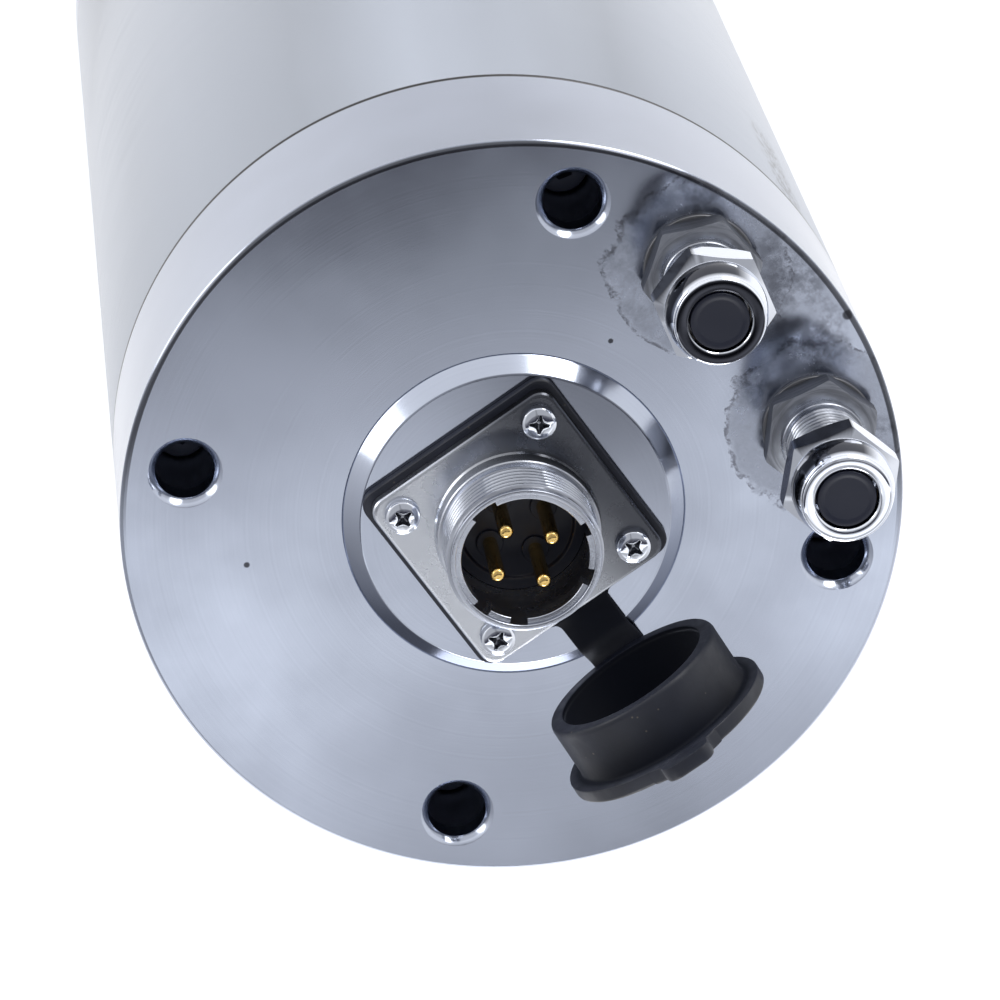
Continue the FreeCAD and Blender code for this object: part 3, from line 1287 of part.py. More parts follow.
def check_and_export():
    """Stop on any failed object or shape, then write one file for each sub-part."""
    DOC.recompute()
    failed = [item.Name for item in DOC.Objects
              if "Invalid" in item.State or "Error" in item.State]
    if failed:
        raise RuntimeError("failed objects: " + ", ".join(failed))
    os.makedirs("parts", exist_ok=True)
    for item in NODES:
        shape = item.Shape
        if shape.isNull() or not shape.isValid() or not shape.Solids:
            raise RuntimeError("bad shape: " + item.Label)
        shape.exportStep("parts/%s.step" % item.Label)
        box = shape.BoundBox
        print("%-26s solids %2d  volume %10.1f  z %7.2f to %7.2f" % (
            item.Label, len(shape.Solids), shape.Volume, box.ZMin, box.ZMax))


build_sleeve_and_jacket()
build_stator()
build_rotor()
build_shaft()
build_front_bearings()
build_rear_bearings()
build_front_housing()
build_front_cover()
build_collet_and_nut()
build_rear_housing()
build_rear_cap()
build_connector()
build_dust_cap()
build_fitting("inlet", S.inlet_angle, S.inlet_nut_height, S.inlet_hexagon_turn, S.inlet_nut_turn)
build_fitting("outlet", S.outlet_angle, S.outlet_nut_height, S.outlet_hexagon_turn, S.outlet_nut_turn)
build_leads()
check_and_export()
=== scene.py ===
"""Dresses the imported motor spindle.

Most surfaces that show are rebuilt as detailed pieces. The other nodes keep their own meshes and
get a procedural material. Sizes of pieces are millimetres in the part's own frame, with +Z along
the axis towards the connector end. Sizes in finishes are metres, as the meshes are.
"""

import json
import logging
import math
from collections.abc import Iterable, Sequence
from dataclasses import dataclass, field
from enum import Enum
from functools import reduce

import bmesh
import bpy
from bmesh.types import BMEdge, BMesh, BMVert
from mathutils import Matrix, Vector
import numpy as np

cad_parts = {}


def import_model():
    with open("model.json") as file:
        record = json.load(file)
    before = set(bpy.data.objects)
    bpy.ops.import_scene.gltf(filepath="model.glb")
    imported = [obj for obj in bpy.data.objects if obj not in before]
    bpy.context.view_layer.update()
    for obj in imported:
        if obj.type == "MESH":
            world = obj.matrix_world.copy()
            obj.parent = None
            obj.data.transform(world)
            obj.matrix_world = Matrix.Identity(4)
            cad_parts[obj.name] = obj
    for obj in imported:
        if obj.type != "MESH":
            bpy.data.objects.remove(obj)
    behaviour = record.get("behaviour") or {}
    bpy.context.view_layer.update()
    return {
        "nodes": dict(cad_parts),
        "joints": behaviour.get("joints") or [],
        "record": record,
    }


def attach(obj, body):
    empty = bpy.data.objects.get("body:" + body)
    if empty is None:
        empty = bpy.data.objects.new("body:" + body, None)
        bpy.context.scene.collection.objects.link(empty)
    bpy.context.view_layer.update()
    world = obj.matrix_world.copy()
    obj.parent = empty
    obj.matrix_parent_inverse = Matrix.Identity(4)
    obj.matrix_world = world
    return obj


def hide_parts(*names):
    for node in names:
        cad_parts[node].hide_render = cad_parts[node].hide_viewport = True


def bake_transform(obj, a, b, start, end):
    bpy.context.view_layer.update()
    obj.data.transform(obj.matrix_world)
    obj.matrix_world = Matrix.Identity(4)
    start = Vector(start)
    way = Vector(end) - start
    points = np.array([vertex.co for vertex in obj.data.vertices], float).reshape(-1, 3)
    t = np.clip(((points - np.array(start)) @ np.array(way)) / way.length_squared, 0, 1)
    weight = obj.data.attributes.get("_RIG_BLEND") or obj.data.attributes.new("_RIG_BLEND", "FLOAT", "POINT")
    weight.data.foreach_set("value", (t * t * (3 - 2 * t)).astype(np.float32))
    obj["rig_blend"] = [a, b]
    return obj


LOG = logging.getLogger("spindle_scene")
MM = 0.001
FULL_TURN = 2.0 * math.pi
# Lengths in millimetres that differ by less than this are taken as the same.
TOLERANCE = 1e-3

Outline = Sequence[tuple[float, ...]]
Place = tuple[float, float]
Point = tuple[float, float, float]
Range = tuple[float, float]
Socket = bpy.types.NodeSocket
Value = bpy.types.NodeSocket | float
Loop = list[BMVert]


class Body(Enum):
    """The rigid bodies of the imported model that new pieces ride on."""

    HOUSING = "spindle_body"
    COLLET = "collet"
    COLLET_NUT = "collet_nut"
    DUST_CAP = "dust_cap"


class Finish(Enum):
    """The record's material slots."""

    SATIN = "satin_steel"
    POLISHED = "polished_steel"
    GROUND = "ground_steel"
    BLACKENED = "black_steel"
    NICKEL = "nickel_plate"
    CHROME = "chrome_plate"
    ALUMINIUM = "plain_aluminium"
    LAMINATION = "lamination_steel"
    COPPER = "winding_copper"
    BRASS = "plain_brass"
    GOLD = "gold_plate"
    BEARING = "bearing_steel"
    RESIN = "cage_plastic"
    RUBBER = "black_rubber"
    PLASTIC = "black_plastic"
    LEAD = "lead_sleeve"


class NodeGraph:
    """A small helper that adds and links shader nodes in one material or world."""

    def __init__(self, tree: bpy.types.NodeTree) -> None:
        """Take over a node tree and empty it.

        Args:
            tree: The node tree to fill.
        """
        self.tree = tree
        tree.nodes.clear()
        self._coordinates: Socket | None = None

    def add(self, kind: str, **settings: object) -> bpy.types.Node:
        """Add a node and set its properties.

        Args:
            kind: The node's type name.
            **settings: Properties of the node, by name.

        Returns:
            The new node.
        """
        node = self.tree.nodes.new(kind)
        for name, value in settings.items():
            setattr(node, name, value)
        return node

    def feed(self, target: Socket, value: Value | Point) -> None:
        """Link an input to an output, or set it to a plain number, vector or colour.

        Args:
            target: The input socket.
            value: The output socket or the plain value.
        """
        if isinstance(value, bpy.types.NodeSocket):
            self.tree.links.new(value, target)
        elif target.type == "RGBA":
            target.default_value = (*value, 1.0)
        else:
            target.default_value = value

    def principled(self) -> bpy.types.Node:
        """Add a Principled shader that is joined to the material's output.

        Returns:
            The shader node.
        """
        shader = self.add("ShaderNodeBsdfPrincipled")
        output = self.add("ShaderNodeOutputMaterial")
        self.feed(output.inputs["Surface"], shader.outputs["BSDF"])
        return shader

    def position(self) -> Socket:
        """Give the object coordinates, made once for the graph.

        Returns:
            The coordinate output.
        """
        if self._coordinates is None:
            self._coordinates = self.add("ShaderNodeTexCoord").outputs["Object"]
        return self._coordinates

    def mapped(self, scale: Point, location: Point = (0.0, 0.0, 0.0)) -> Socket:
        """Give the object coordinates after a scale and a shift.

        Args:
            scale: The scale along each axis.
            location: The shift along each axis, in scaled units.

        Returns:
            The mapped coordinate output.
        """
        node = self.add("ShaderNodeMapping")
        self.feed(node.inputs["Vector"], self.position())
        self.feed(node.inputs["Scale"], scale)
        self.feed(node.inputs["Location"], location)
        return node.outputs["Vector"]

    def noise(self, scale: float, detail: float, roughness: float = 0.5,
              vector: Socket | None = None) -> Socket:
        """Add a noise texture.

        Args:
            scale: Its scale, per metre.
            detail: Its octaves.
            roughness: How strong the fine octaves are.
            vector: Its coordinates, or None for the object's own.

        Returns:
            The noise value, from 0 to 1.
        """
        node = self.add("ShaderNodeTexNoise")
        self.feed(node.inputs["Vector"], vector or self.position())
        self.feed(node.inputs["Scale"], scale)
        self.feed(node.inputs["Detail"], detail)
        self.feed(node.inputs["Roughness"], roughness)
        return node.outputs["Fac"]

    def drawn_noise(self, scale: Point, detail: float, roughness: float = 0.5,
                    location: Point = (0.0, 0.0, 0.0)) -> Socket:
        """Add noise that is drawn out by a scale for each axis, and shifted in scaled units."""
        return self.noise(1.0, detail, roughness, self.mapped(scale, location))

    def turned_rings(self, scale: float) -> Socket:
        """Add noise that changes with the distance from the spindle axis only.

        Args:
            scale: Its scale, per metre.

        Returns:
            The noise value, from 0 to 1.
        """
        node = self.add("ShaderNodeTexNoise", noise_dimensions="1D")
        self.feed(node.inputs["W"], self.times(self.radius_from(0.0, 0.0), scale))
        self.feed(node.inputs["Scale"], 1.0)
        self.feed(node.inputs["Detail"], 2.0)
        return node.outputs["Fac"]

    def math(self, operation: str, first: Value, second: Value) -> Socket:
        """Add a math node.

        Args:
            operation: The operation's name.
            first: The first value or socket.
            second: The second value or socket.

        Returns:
            The result socket.
        """
        node = self.add("ShaderNodeMath", operation=operation)
        self.feed(node.inputs[0], first)
        self.feed(node.inputs[1], second)
        return node.outputs[0]

    def times(self, *values: Value) -> Socket:
        """Multiply some values."""
        return reduce(lambda first, second: self.math("MULTIPLY", first, second), values)

    def total(self, *values: Value) -> Socket:
        """Add some values up."""
        return reduce(lambda first, second: self.math("ADD", first, second), values)

    def most(self, *values: Value) -> Socket:
        """Give the largest of some values."""
        return reduce(lambda first, second: self.math("MAXIMUM", first, second), values)

    def rest_of(self, value: Value) -> Socket:
        """Give what a value leaves of one."""
        return self.math("SUBTRACT", 1.0, value)

    def spread(self, value: Socket, low: float, high: float, to_low: float = 0.0,
               to_high: float = 1.0, interpolation: str = "SMOOTHSTEP") -> Socket:
        """Map a value from one range to another, clamped.

        Args:
            value: The value to map.
            low: Where the source range starts.
            high: Where the source range ends.
            to_low: The result at the start.
            to_high: The result at the end.
            interpolation: The name of the way between the ends.

        Returns:
            The mapped value.
        """
        node = self.add("ShaderNodeMapRange", interpolation_type=interpolation)
        for name, number in (("Value", value), ("From Min", low), ("From Max", high),
                             ("To Min", to_low), ("To Max", to_high)):
            self.feed(node.inputs[name], number)
        return node.outputs["Result"]

    def colours(self, value: Socket, stops: Iterable[tuple[float, Point]]) -> Socket:
        """Turn a value into a colour through a ramp.

        Args:
            value: The value that drives the ramp.
            stops: Pairs of place, in rising order, and linear colour.

        Returns:
            The colour output.
        """
        node = self.add("ShaderNodeValToRGB")
        elements = node.color_ramp.elements
        stops = list(stops)
        while len(elements) < len(stops):
            elements.new(0.5)
        for element, (place, colour) in zip(elements, stops):
            element.position = place
            element.color = (*colour, 1.0)
        self.feed(node.inputs["Fac"], value)
        return node.outputs["Color"]

    def bump(self, height: Socket, strength: float, distance: float,
             below: Socket | None = None) -> Socket:
        """Add a bump node.

        Args:
            height: The height value.
            strength: How strong the bump is.
            distance: The height of a full step, in metres.
            below: The normal of a bump underneath.

        Returns:
            The bent normal.
        """
        node = self.add("ShaderNodeBump")
        self.feed(node.inputs["Strength"], strength)
        self.feed(node.inputs["Distance"], distance)
        self.feed(node.inputs["Height"], height)
        if below is not None:
            self.feed(node.inputs["Normal"], below)
        return node.outputs["Normal"]

    def blend(self, factor: Value, first: Socket | Point, second: Socket | Point) -> Socket:
        """Blend two colours.

        Args:
            factor: How much of the second colour shows.
            first: The colour at 0.
            second: The colour at 1.

        Returns:
            The blended colour.
        """
        node = self.add("ShaderNodeMix", data_type="RGBA")
        for index, value in ((0, factor), (6, first), (7, second)):
            self.feed(node.inputs[index], value)
        return node.outputs[2]

    def along(self, direction: Point, vector: Socket | None = None) -> Socket:
        """Give how far a vector reaches along a direction.

        Args:
            direction: The direction.
            vector: The vector, or None for the object coordinates.

        Returns:
            The dot product.
        """
        node = self.add("ShaderNodeVectorMath", operation="DOT_PRODUCT")
        self.feed(node.inputs[0], vector or self.position())
        self.feed(node.inputs[1], direction)
        return node.outputs["Value"]

    def height(self) -> Socket:
        """Give the height along Z, in metres."""
        return self.along((0.0, 0.0, 1.0))

    def radius_from(self, x: float, y: float) -> Socket:
        """Give the level distance from an upright axis.

        Args:
            x: The axis's place along X, in metres.
            y: The axis's place along Y, in metres.

        Returns:
            The distance in metres.
        """
        node = self.add("ShaderNodeVectorMath", operation="LENGTH")
        self.feed(node.inputs[0], self.mapped((1.0, 1.0, 0.0), (-x, -y, 0.0)))
        return node.outputs["Value"]


@dataclass(frozen=True)
class Surface:
    """A plain finish: mottled colour, uneven gloss, a fine grain, and painted shade in recesses."""

    colour: Point
    metallic: float = 1.0
    roughness: float = 0.3
    roughness_spread: float = 0.06
    mottle: float = 0.06
    cloud_scale: float = 60.0
    patch_scale: float = 220.0
    grain_scale: float = 900.0
    grain_height: float = 0.00001
    grain_strength: float = 0.6
    anisotropy: float = 0.0
    specular: float = 0.5
    coat: float = 0.0
    darkened_roughness: float = 0.55
    darkened_colour: Point = (0.022, 0.023, 0.032)
    darkened_specular: float = 0.5

    def material(self, name: str) -> bpy.types.Material:
        """Make the finish's material.

        Args:
            name: The material's name.

        Returns:
            The new material.
        """
        material = bpy.data.materials.new(name)
        material.use_nodes = True
        graph = NodeGraph(material.node_tree)
        shader = graph.principled()
        for socket, number in (("Metallic", self.metallic), ("Specular IOR Level", self.specular),
                               ("Anisotropic", self.anisotropy), ("Coat Weight", self.coat)):
            shader.inputs[socket].default_value = number
        self.dress(graph, shader)
        self.darken_marked(graph, shader)
        return material

    def tone(self, factor: float) -> Point:
        """Give the colour with each channel scaled by a factor."""
        return tuple(min(1.0, channel * factor) for channel in self.colour)

    def two_tone(self, graph: NodeGraph, value: Socket, dark: Range, light: Range) -> Socket:
        """Shade the colour between two stops, each a place and a factor on the colour."""
        return graph.colours(value, [(place, self.tone(factor)) for place, factor in (dark, light)])

    def gloss(self, graph: NodeGraph, value: Socket, low: float = 0.3, high: float = 0.7) -> Socket:
        """Spread a value over the finish's own range of roughness."""
        return graph.spread(value, low, high, self.roughness - self.roughness_spread,
                            self.roughness + self.roughness_spread)

    def grain(self, graph: NodeGraph, shader: bpy.types.Node) -> None:
        """Bump the surface with a fine grain."""
        grain = graph.noise(self.grain_scale, 3.0, 0.6)
        graph.feed(shader.inputs["Normal"],
                   graph.bump(grain, self.grain_strength, self.grain_height))

    def dress(self, graph: NodeGraph, shader: bpy.types.Node) -> None:
        """Add mottled colour, uneven gloss and a fine grain.

        Args:
            graph: The material's graph.
            shader: Its shader node.
        """
        cloud = graph.noise(self.cloud_scale, 4.0)
        colour = self.two_tone(graph, cloud, (0.3, 1.0 - self.mottle), (0.7, 1.0 + self.mottle))
        graph.feed(shader.inputs["Base Color"], colour)
        patches = graph.noise(self.patch_scale, 5.0)
        graph.feed(shader.inputs["Roughness"], self.gloss(graph, patches))
        self.grain(graph, shader)

    def darken_marked(self, graph: NodeGraph, shader: bpy.types.Node) -> None:
        """Darken where the mesh's darkening attribute says: mostly painted shade in recesses.

        Args:
            graph: The material's graph.
            shader: Its shader node.
        """
        # The attribute carries mostly painted shade: recesses, grooves and parts in shadow.
        darkening = graph.add("ShaderNodeAttribute", attribute_name="darkening").outputs["Fac"]
        if self.darkened_specular != self.specular:
            graph.feed(shader.inputs["Specular IOR Level"],
                       graph.spread(darkening, 0.0, 1.0, self.specular, self.darkened_specular))
        colour, roughness = shader.inputs["Base Color"], shader.inputs["Roughness"]
        graph.feed(colour, graph.blend(darkening, colour.links[0].from_socket, self.darkened_colour))
        kept = graph.times(roughness.links[0].from_socket, graph.rest_of(darkening))
        graph.feed(roughness, graph.total(kept, graph.times(darkening, self.darkened_roughness)))


@dataclass(frozen=True)
class Nickel(Surface):
    """Nickel plate, stroked on the water fittings, with painted shade on one side of the connector."""

    connector_range: Range = (0.026, 0.022)
    flange_range: Range = (0.2625, 0.2600)
    flange_shade_side: Point = (-0.155, 0.988, 0.0)
    flange_shade_range: Range = (-0.005, 0.012)
    flange_shade_colour: Point = (0.04, 0.043, 0.055)
    flange_shade_share: float = 0.9
    flange_pale_colour: Point = (0.95, 0.97, 1.0)
    flange_pale_share: float = 0.5
    stroke_scale: Point = (160.0, 160.0, 4200.0)
    stroke_colour: Point = (0.13, 0.13, 0.13)
    stroke_share: float = 0.45

    def dress(self, graph: NodeGraph, shader: bpy.types.Node) -> None:
        """Add the strokes, a paler flange and its painted shade to a plain finish.

        Args:
            graph: The material's graph.
            shader: Its shader node.
        """
        super().dress(graph, shader)
        colour = shader.inputs["Base Color"].links[0].from_socket
        near = graph.spread(graph.radius_from(0.0, 0.0), *self.connector_range)
        flange = graph.times(near, graph.spread(graph.height(), *self.flange_range))
        # The connector flange is made paler, then painted shade darkens one side of it.
        flange_shade = graph.spread(graph.along(self.flange_shade_side), *self.flange_shade_range)
        strokes = graph.spread(graph.drawn_noise(self.stroke_scale, 3.0, 0.7), 0.38, 0.62)
        strokes = graph.times(strokes, graph.rest_of(near), self.stroke_share)
        colour = graph.blend(strokes, colour, self.stroke_colour)
        colour = graph.blend(graph.times(flange, self.flange_pale_share), colour, self.flange_pale_colour)
        flange_shade = graph.times(flange, flange_shade, self.flange_shade_share)
        colour = graph.blend(flange_shade, colour, self.flange_shade_colour)
        graph.feed(shader.inputs["Base Color"], colour)


@dataclass(frozen=True)
class Satin(Surface):
    """The satin sleeve: fine turned lines, a painted sheen across it, rubbed marks and a scrape."""

    seam: float = 0.2275
    seam_range: Range = (0.0006, 0.0004)
    painted_sheen_across: Point = (0.573 / 0.105, 0.819 / 0.105, 0.0)
    painted_sheen_shift: float = 0.29
    painted_sheen: tuple[Range, ...] = (
        (0.0, 0.68), (0.12, 0.76), (0.27, 0.71), (0.37, 0.90), (0.455, 1.07), (0.55, 0.86),
        (0.64, 0.67), (0.76, 0.80), (1.0, 0.84))
    band_scale: Point = (34.0, 34.0, 1.2)
    band_share: float = 0.3
    drift_scale: Point = (26.0, 26.0, 9.0)
    drift_share: float = 0.12
    rubbed_scale: Point = (160.0, 160.0, 40.0)
    rubbed_shift: Point = (3.0, 1.0, 5.0)
    rubbed_range: Range = (0.70, 0.76)
    rubbed_share: float = 0.35
    scratch_scale: Point = (1900.0, 1900.0, 520.0)
    scratch_range: Range = (0.44, 0.58)
    scrape_place: Place = (-0.0030, 0.0499)
    scrape_reach: Range = (0.0038, 0.0010)
    scrape_heights: Range = (0.192, 0.203)
    scrape_share: float = 0.75
    mark_colour: Point = (0.05, 0.048, 0.05)
    line_scale: Point = (2.0, 2.0, 5200.0)
    line_height: float = 0.000005
    line_strength: float = 0.04
    scuff_scale: Point = (60.0, 60.0, 420.0)
    scuff_roughness: float = 0.025
    smoother: float = 0.03

    def dress(self, graph: NodeGraph, shader: bpy.types.Node) -> None:
        """Add the painted sheen, the marks and the turned lines.

        Args:
            graph: The material's graph.
            shader: Its shader node.
        """
        # Painted sheen: light and dark bands along one level direction, broken up by noise; painted
        # reflections.
        bands = graph.times(graph.drawn_noise(self.band_scale, 2.0), self.band_share)
        drift = graph.times(graph.drawn_noise(self.drift_scale, 4.0), self.drift_share)
        painted_sheen = graph.total(graph.along(self.painted_sheen_across), self.painted_sheen_shift,
                            graph.total(bands, drift))
        colour = graph.colours(painted_sheen, [(place, self.tone(level)) for place, level in self.painted_sheen])
        colour = graph.blend(self._marks(graph), colour, self.mark_colour)
        graph.feed(shader.inputs["Base Color"], colour)
        scuffs = graph.spread(graph.drawn_noise(self.scuff_scale, 3.0), 0.35, 0.75)
        roughness = graph.total(graph.times(scuffs, self.scuff_roughness),
                                self.roughness - self.smoother)
        graph.feed(shader.inputs["Roughness"], roughness)
        lines = graph.drawn_noise(self.line_scale, 2.0, 0.7)
        graph.feed(shader.inputs["Normal"],
                   graph.bump(lines, self.line_strength, self.line_height))
        tangent = graph.add("ShaderNodeTangent", direction_type="RADIAL", axis="Z")
        graph.feed(shader.inputs["Tangent"], tangent.outputs["Tangent"])

    def _marks(self, graph: NodeGraph) -> Socket:
        """Find the dark seam, the rubbed marks and the scrape beside the water fittings.

        Args:
            graph: The material's graph.

        Returns:
            How dark the surface is, from 0 to 1.
        """
        height = graph.height()
        seam = graph.spread(height, *(self.seam - below for below in self.seam_range))
        rubbed = graph.drawn_noise(self.rubbed_scale, 5.0, 0.7, self.rubbed_shift)
        rubbed = graph.times(graph.spread(rubbed, *self.rubbed_range), self.rubbed_share)
        scratches = graph.drawn_noise(self.scratch_scale, 6.0, 0.8)
        scratches = graph.spread(scratches, *self.scratch_range)
        near = graph.spread(graph.radius_from(*self.scrape_place), *self.scrape_reach)
        scrape = graph.times(near, graph.spread(height, *self.scrape_heights), scratches,
                             self.scrape_share)
        return graph.most(seam, rubbed, scrape)


@dataclass(frozen=True)
class Polished(Surface):
    """The polished caps: turning rings, haze, stains, smudges and pits on the connector face.

    A mark is its place along X and Y and its radius.
    """

    stains: tuple[Point, ...] = ()
    smudges: tuple[Point, ...] = ((-0.0055, 0.0465, 0.0070), (0.0035, 0.0440, 0.0060),
                                  (0.0200, 0.0440, 0.0050), (-0.0200, 0.0435, 0.0055))
    pits: tuple[Point, ...] = ((-0.01502, -0.03107, 0.00055), (-0.01197, 0.02326, 0.0004),
                               (0.00328, 0.04924, 0.0008))
    seam: float = 0.2275
    seam_above: Range = (0.0006, 0.0004)
    seam_below: Range = (0.0011, 0.0009)
    face_range: Range = (0.2535, 0.2538)
    side_range: Range = (0.25365, 0.25345)
    side_shade: float = 0.22
    tone_scale: float = 30.0
    haze_scale: float = 45.0
    blotch_scale: float = 420.0
    stray_scale: float = 150.0
    stray: float = 0.007
    ring_scale: float = 2900.0
    ring_share: float = 0.12
    ring_strength: float = 0.10
    ring_height: float = 0.000004
    uphill: Point = (-0.796, 0.605, 0.0)
    rim_range: Range = (0.04915, 0.04930)
    rim_uphill: Range = (-0.008, 0.012)
    rim_share: float = 0.85
    line_colour: Point = (0.03, 0.03, 0.035)
    boss_range: Range = (0.2558, 0.2559)
    boss_shade_place: Place = (-0.0095, 0.026)
    boss_shade_reach: Range = (0.032, 0.008)
    boss_shade: float = 0.6
    boss_shadow_colour: Point = (0.06, 0.062, 0.08)
    chamfer_foot: Range = (0.2540, 0.2541)
    chamfer_top: Range = (0.2560, 0.2559)
    chamfer_side: Range = (0.004, -0.010)
    chamfer_side_share: float = 0.40
    chamfer_bottom: Range = (-0.008, -0.016)
    chamfer_bottom_share: float = 0.52
    chamfer_shade_colour: Point = (0.11, 0.12, 0.155)
    smudge_scale: float = 260.0
    smudge_core: float = 0.35
    smudge_stray: float = 2.0
    smudge_colour: Point = (0.11, 0.115, 0.14)
    smudge_share: float = 0.7
    stain_share: float = 0.8
    outline_scale: float = 700.0
    outline_colour: Point = (0.09, 0.09, 0.11)
    outline_share: float = 0.75
    pit_core: float = 0.6
    pit_stray: float = 0.05
    pit_share: float = 0.9
    bore_range: Range = (0.2475, 0.2528)
    bore_inset: Range = (0.0494, 0.0490)
    bore_roughness: float = 0.25

    def dress(self, graph: NodeGraph, shader: bpy.types.Node) -> None:
        """Add the turning rings, the haze and every mark.

        Args:
            graph: The material's graph.
            shader: Its shader node.
        """
        height = graph.height()
        on_face = graph.spread(height, *self.face_range)
        blotches = graph.noise(self.blotch_scale, 5.0, 0.7)
        stray = graph.math("SUBTRACT", graph.noise(self.stray_scale, 6.0, 0.6), 0.5)
        stray = graph.times(stray, self.stray)
        inside, outline = self._stained(graph, stray)
        inside = graph.times(inside, on_face)
        broken = graph.spread(graph.noise(self.outline_scale, 4.0, 0.8), 0.40, 0.62)
        outline = graph.times(outline, on_face, broken)
        smeared = graph.spread(graph.noise(self.smudge_scale, 5.0, 0.7), 0.36, 0.62)
        smudge = self._spots(graph, self.smudges, graph.times(stray, self.smudge_stray),
                             self.smudge_core)
        smudge = graph.times(smudge, on_face, smeared)
        pits = self._spots(graph, self.pits, graph.times(stray, self.pit_stray), self.pit_core)
        pits = graph.times(pits, on_face)

        ring = graph.turned_rings(self.ring_scale)
        tone = graph.total(
            graph.times(graph.noise(self.tone_scale, 4.0), 1.0 - self.ring_share),
            graph.times(ring, self.ring_share))
        clean = self.two_tone(graph, tone, (0.34, 0.90), (0.66, 1.08))
        dull = self.two_tone(graph, blotches, (0.30, 0.62), (0.66, 1.12))
        colour = graph.blend(graph.times(inside, self.stain_share), clean, dull)
        colour = graph.blend(graph.times(smudge, self.smudge_share), colour, self.smudge_colour)
        colour = graph.blend(graph.times(outline, self.outline_share), colour, self.outline_colour)
        colour = graph.blend(graph.times(pits, self.pit_share), colour, self.line_colour)
        colour = self._shaded(graph, colour, height, on_face)
        graph.feed(shader.inputs["Base Color"], colour)

        haze = self.gloss(graph, graph.noise(self.haze_scale, 4.0), 0.3, 0.75)
        worn = graph.times(inside, graph.spread(blotches, 0.3, 0.7, 0.03, 0.14))
        bored = graph.times(graph.rest_of(graph.spread(height, *self.bore_range)),
                            graph.spread(graph.radius_from(0.0, 0.0), *self.bore_inset),
                            self.bore_roughness)
        graph.feed(shader.inputs["Roughness"], graph.total(haze, graph.total(worn, bored)))
        turned = graph.bump(ring, self.ring_strength, self.ring_height)
        graph.feed(shader.inputs["Normal"],
                   graph.bump(graph.times(blotches, inside), 0.5, 0.00002, turned))

    def _stained(self, graph: NodeGraph, stray: Socket) -> tuple[Socket, Socket]:
        """Find the dull patch round each water fitting.

        Args:
            graph: The material's graph.
            stray: How far the patches' edges stray, in metres.

        Returns:
            How far a point is inside a patch, and how far it is on a patch's outline.
        """
        inside: Value = 0.0
        outline: Value = 0.0
        for x, y, radius in self.stains:
            reach = graph.total(graph.radius_from(x, y), stray)
            inside = graph.most(inside, graph.spread(reach, radius + 0.0001, radius - 0.0012))
            outline = graph.most(outline, graph.times(
                graph.spread(reach, radius + 0.0003, radius + 0.0001),
                graph.spread(reach, radius - 0.0007, radius - 0.0001)))
        return inside, outline

    @staticmethod
    def _spots(graph: NodeGraph, marks: Iterable[Point], stray: Socket, core: float) -> Socket:
        """Find round marks.

        Args:
            graph: The material's graph.
            marks: Place and radius of each mark.
            stray: How far the marks' edges stray, in metres.
            core: The share of the radius inside which a mark is full.

        Returns:
            How far a point is in a mark.
        """
        found: Value = 0.0
        for x, y, radius in marks:
            reach = graph.total(graph.radius_from(x, y), stray)
            found = graph.most(found, graph.spread(reach, radius, radius * core))
        return found

    def _shaded(self, graph: NodeGraph, colour: Socket, height: Socket, on_face: Socket) -> Socket:
        """Paint shade on the cap's side, boss, chamfer and rim, and darken the seam, a dark joint.

        Args:
            graph: The material's graph.
            colour: The colour so far.
            height: The height.
            on_face: How far a point is on the face.

        Returns:
            The colour.
        """
        # Painted shade on the cap's side.
        side = graph.times(graph.spread(height, *self.side_range), self.side_shade)
        colour = graph.blend(side, colour, (0.0, 0.0, 0.0))
        # Painted dark reflection and shadow of the gasket on the boss's top.
        boss_shadow = graph.times(graph.spread(height, *self.boss_range),
                              graph.spread(graph.radius_from(*self.boss_shade_place),
                                           *self.boss_shade_reach), self.boss_shade)
        colour = graph.blend(boss_shadow, colour, self.boss_shadow_colour)
        uphill = graph.along(self.uphill)
        # Painted shade on one side of the boss's chamfer.
        chamfer = graph.times(graph.spread(height, *self.chamfer_foot),
                              graph.spread(height, *self.chamfer_top))
        chamfer_shade = graph.total(
            graph.times(graph.spread(uphill, *self.chamfer_side), self.chamfer_side_share),
            graph.times(graph.spread(uphill, *self.chamfer_bottom), self.chamfer_bottom_share))
        colour = graph.blend(graph.times(chamfer, chamfer_shade), colour, self.chamfer_shade_colour)
        seam = graph.times(graph.spread(height, *(self.seam + reach for reach in self.seam_above)),
                           graph.spread(height, *(self.seam - reach for reach in self.seam_below)))
        # Painted dark edge line on the uphill side of the face's rim.
        rim = graph.times(graph.spread(graph.radius_from(0.0, 0.0), *self.rim_range), on_face,
                          graph.spread(uphill, *self.rim_uphill), self.rim_share)
        return graph.blend(graph.most(seam, rim), colour, self.line_colour)


@dataclass(frozen=True)
class Rubber(Surface):
    """Black rubber with bloom and specks of dust."""

    bloom_scale: float = 130.0
    patch_scale: float = 300.0
    dust_scale: float = 330.0
    speck_scale: float = 520.0
    speck_size: Range = (0.10, 0.05)
    speck_share: float = 0.6
    speck_colour: Point = (0.15, 0.13, 0.10)

    def dress(self, graph: NodeGraph, shader: bpy.types.Node) -> None:
        """Add the bloom, the specks and the grain.

        Args:
            graph: The material's graph.
            shader: Its shader node.
        """
        black = self.two_tone(graph, graph.noise(self.bloom_scale, 4.0), (0.3, 0.8), (0.75, 1.6))
        specks = graph.add("ShaderNodeTexVoronoi", feature="F1")
        graph.feed(specks.inputs["Vector"], graph.position())
        graph.feed(specks.inputs["Scale"], self.speck_scale)
        dust = graph.times(graph.spread(specks.outputs["Distance"], *self.speck_size),
                           graph.spread(graph.noise(self.dust_scale, 1.0), 0.52, 0.60),
                           self.speck_share)
        graph.feed(shader.inputs["Base Color"], graph.blend(dust, black, self.speck_colour))
        patches = graph.noise(self.patch_scale, 4.0)
        graph.feed(shader.inputs["Roughness"], self.gloss(graph, patches))
        self.grain(graph, shader)


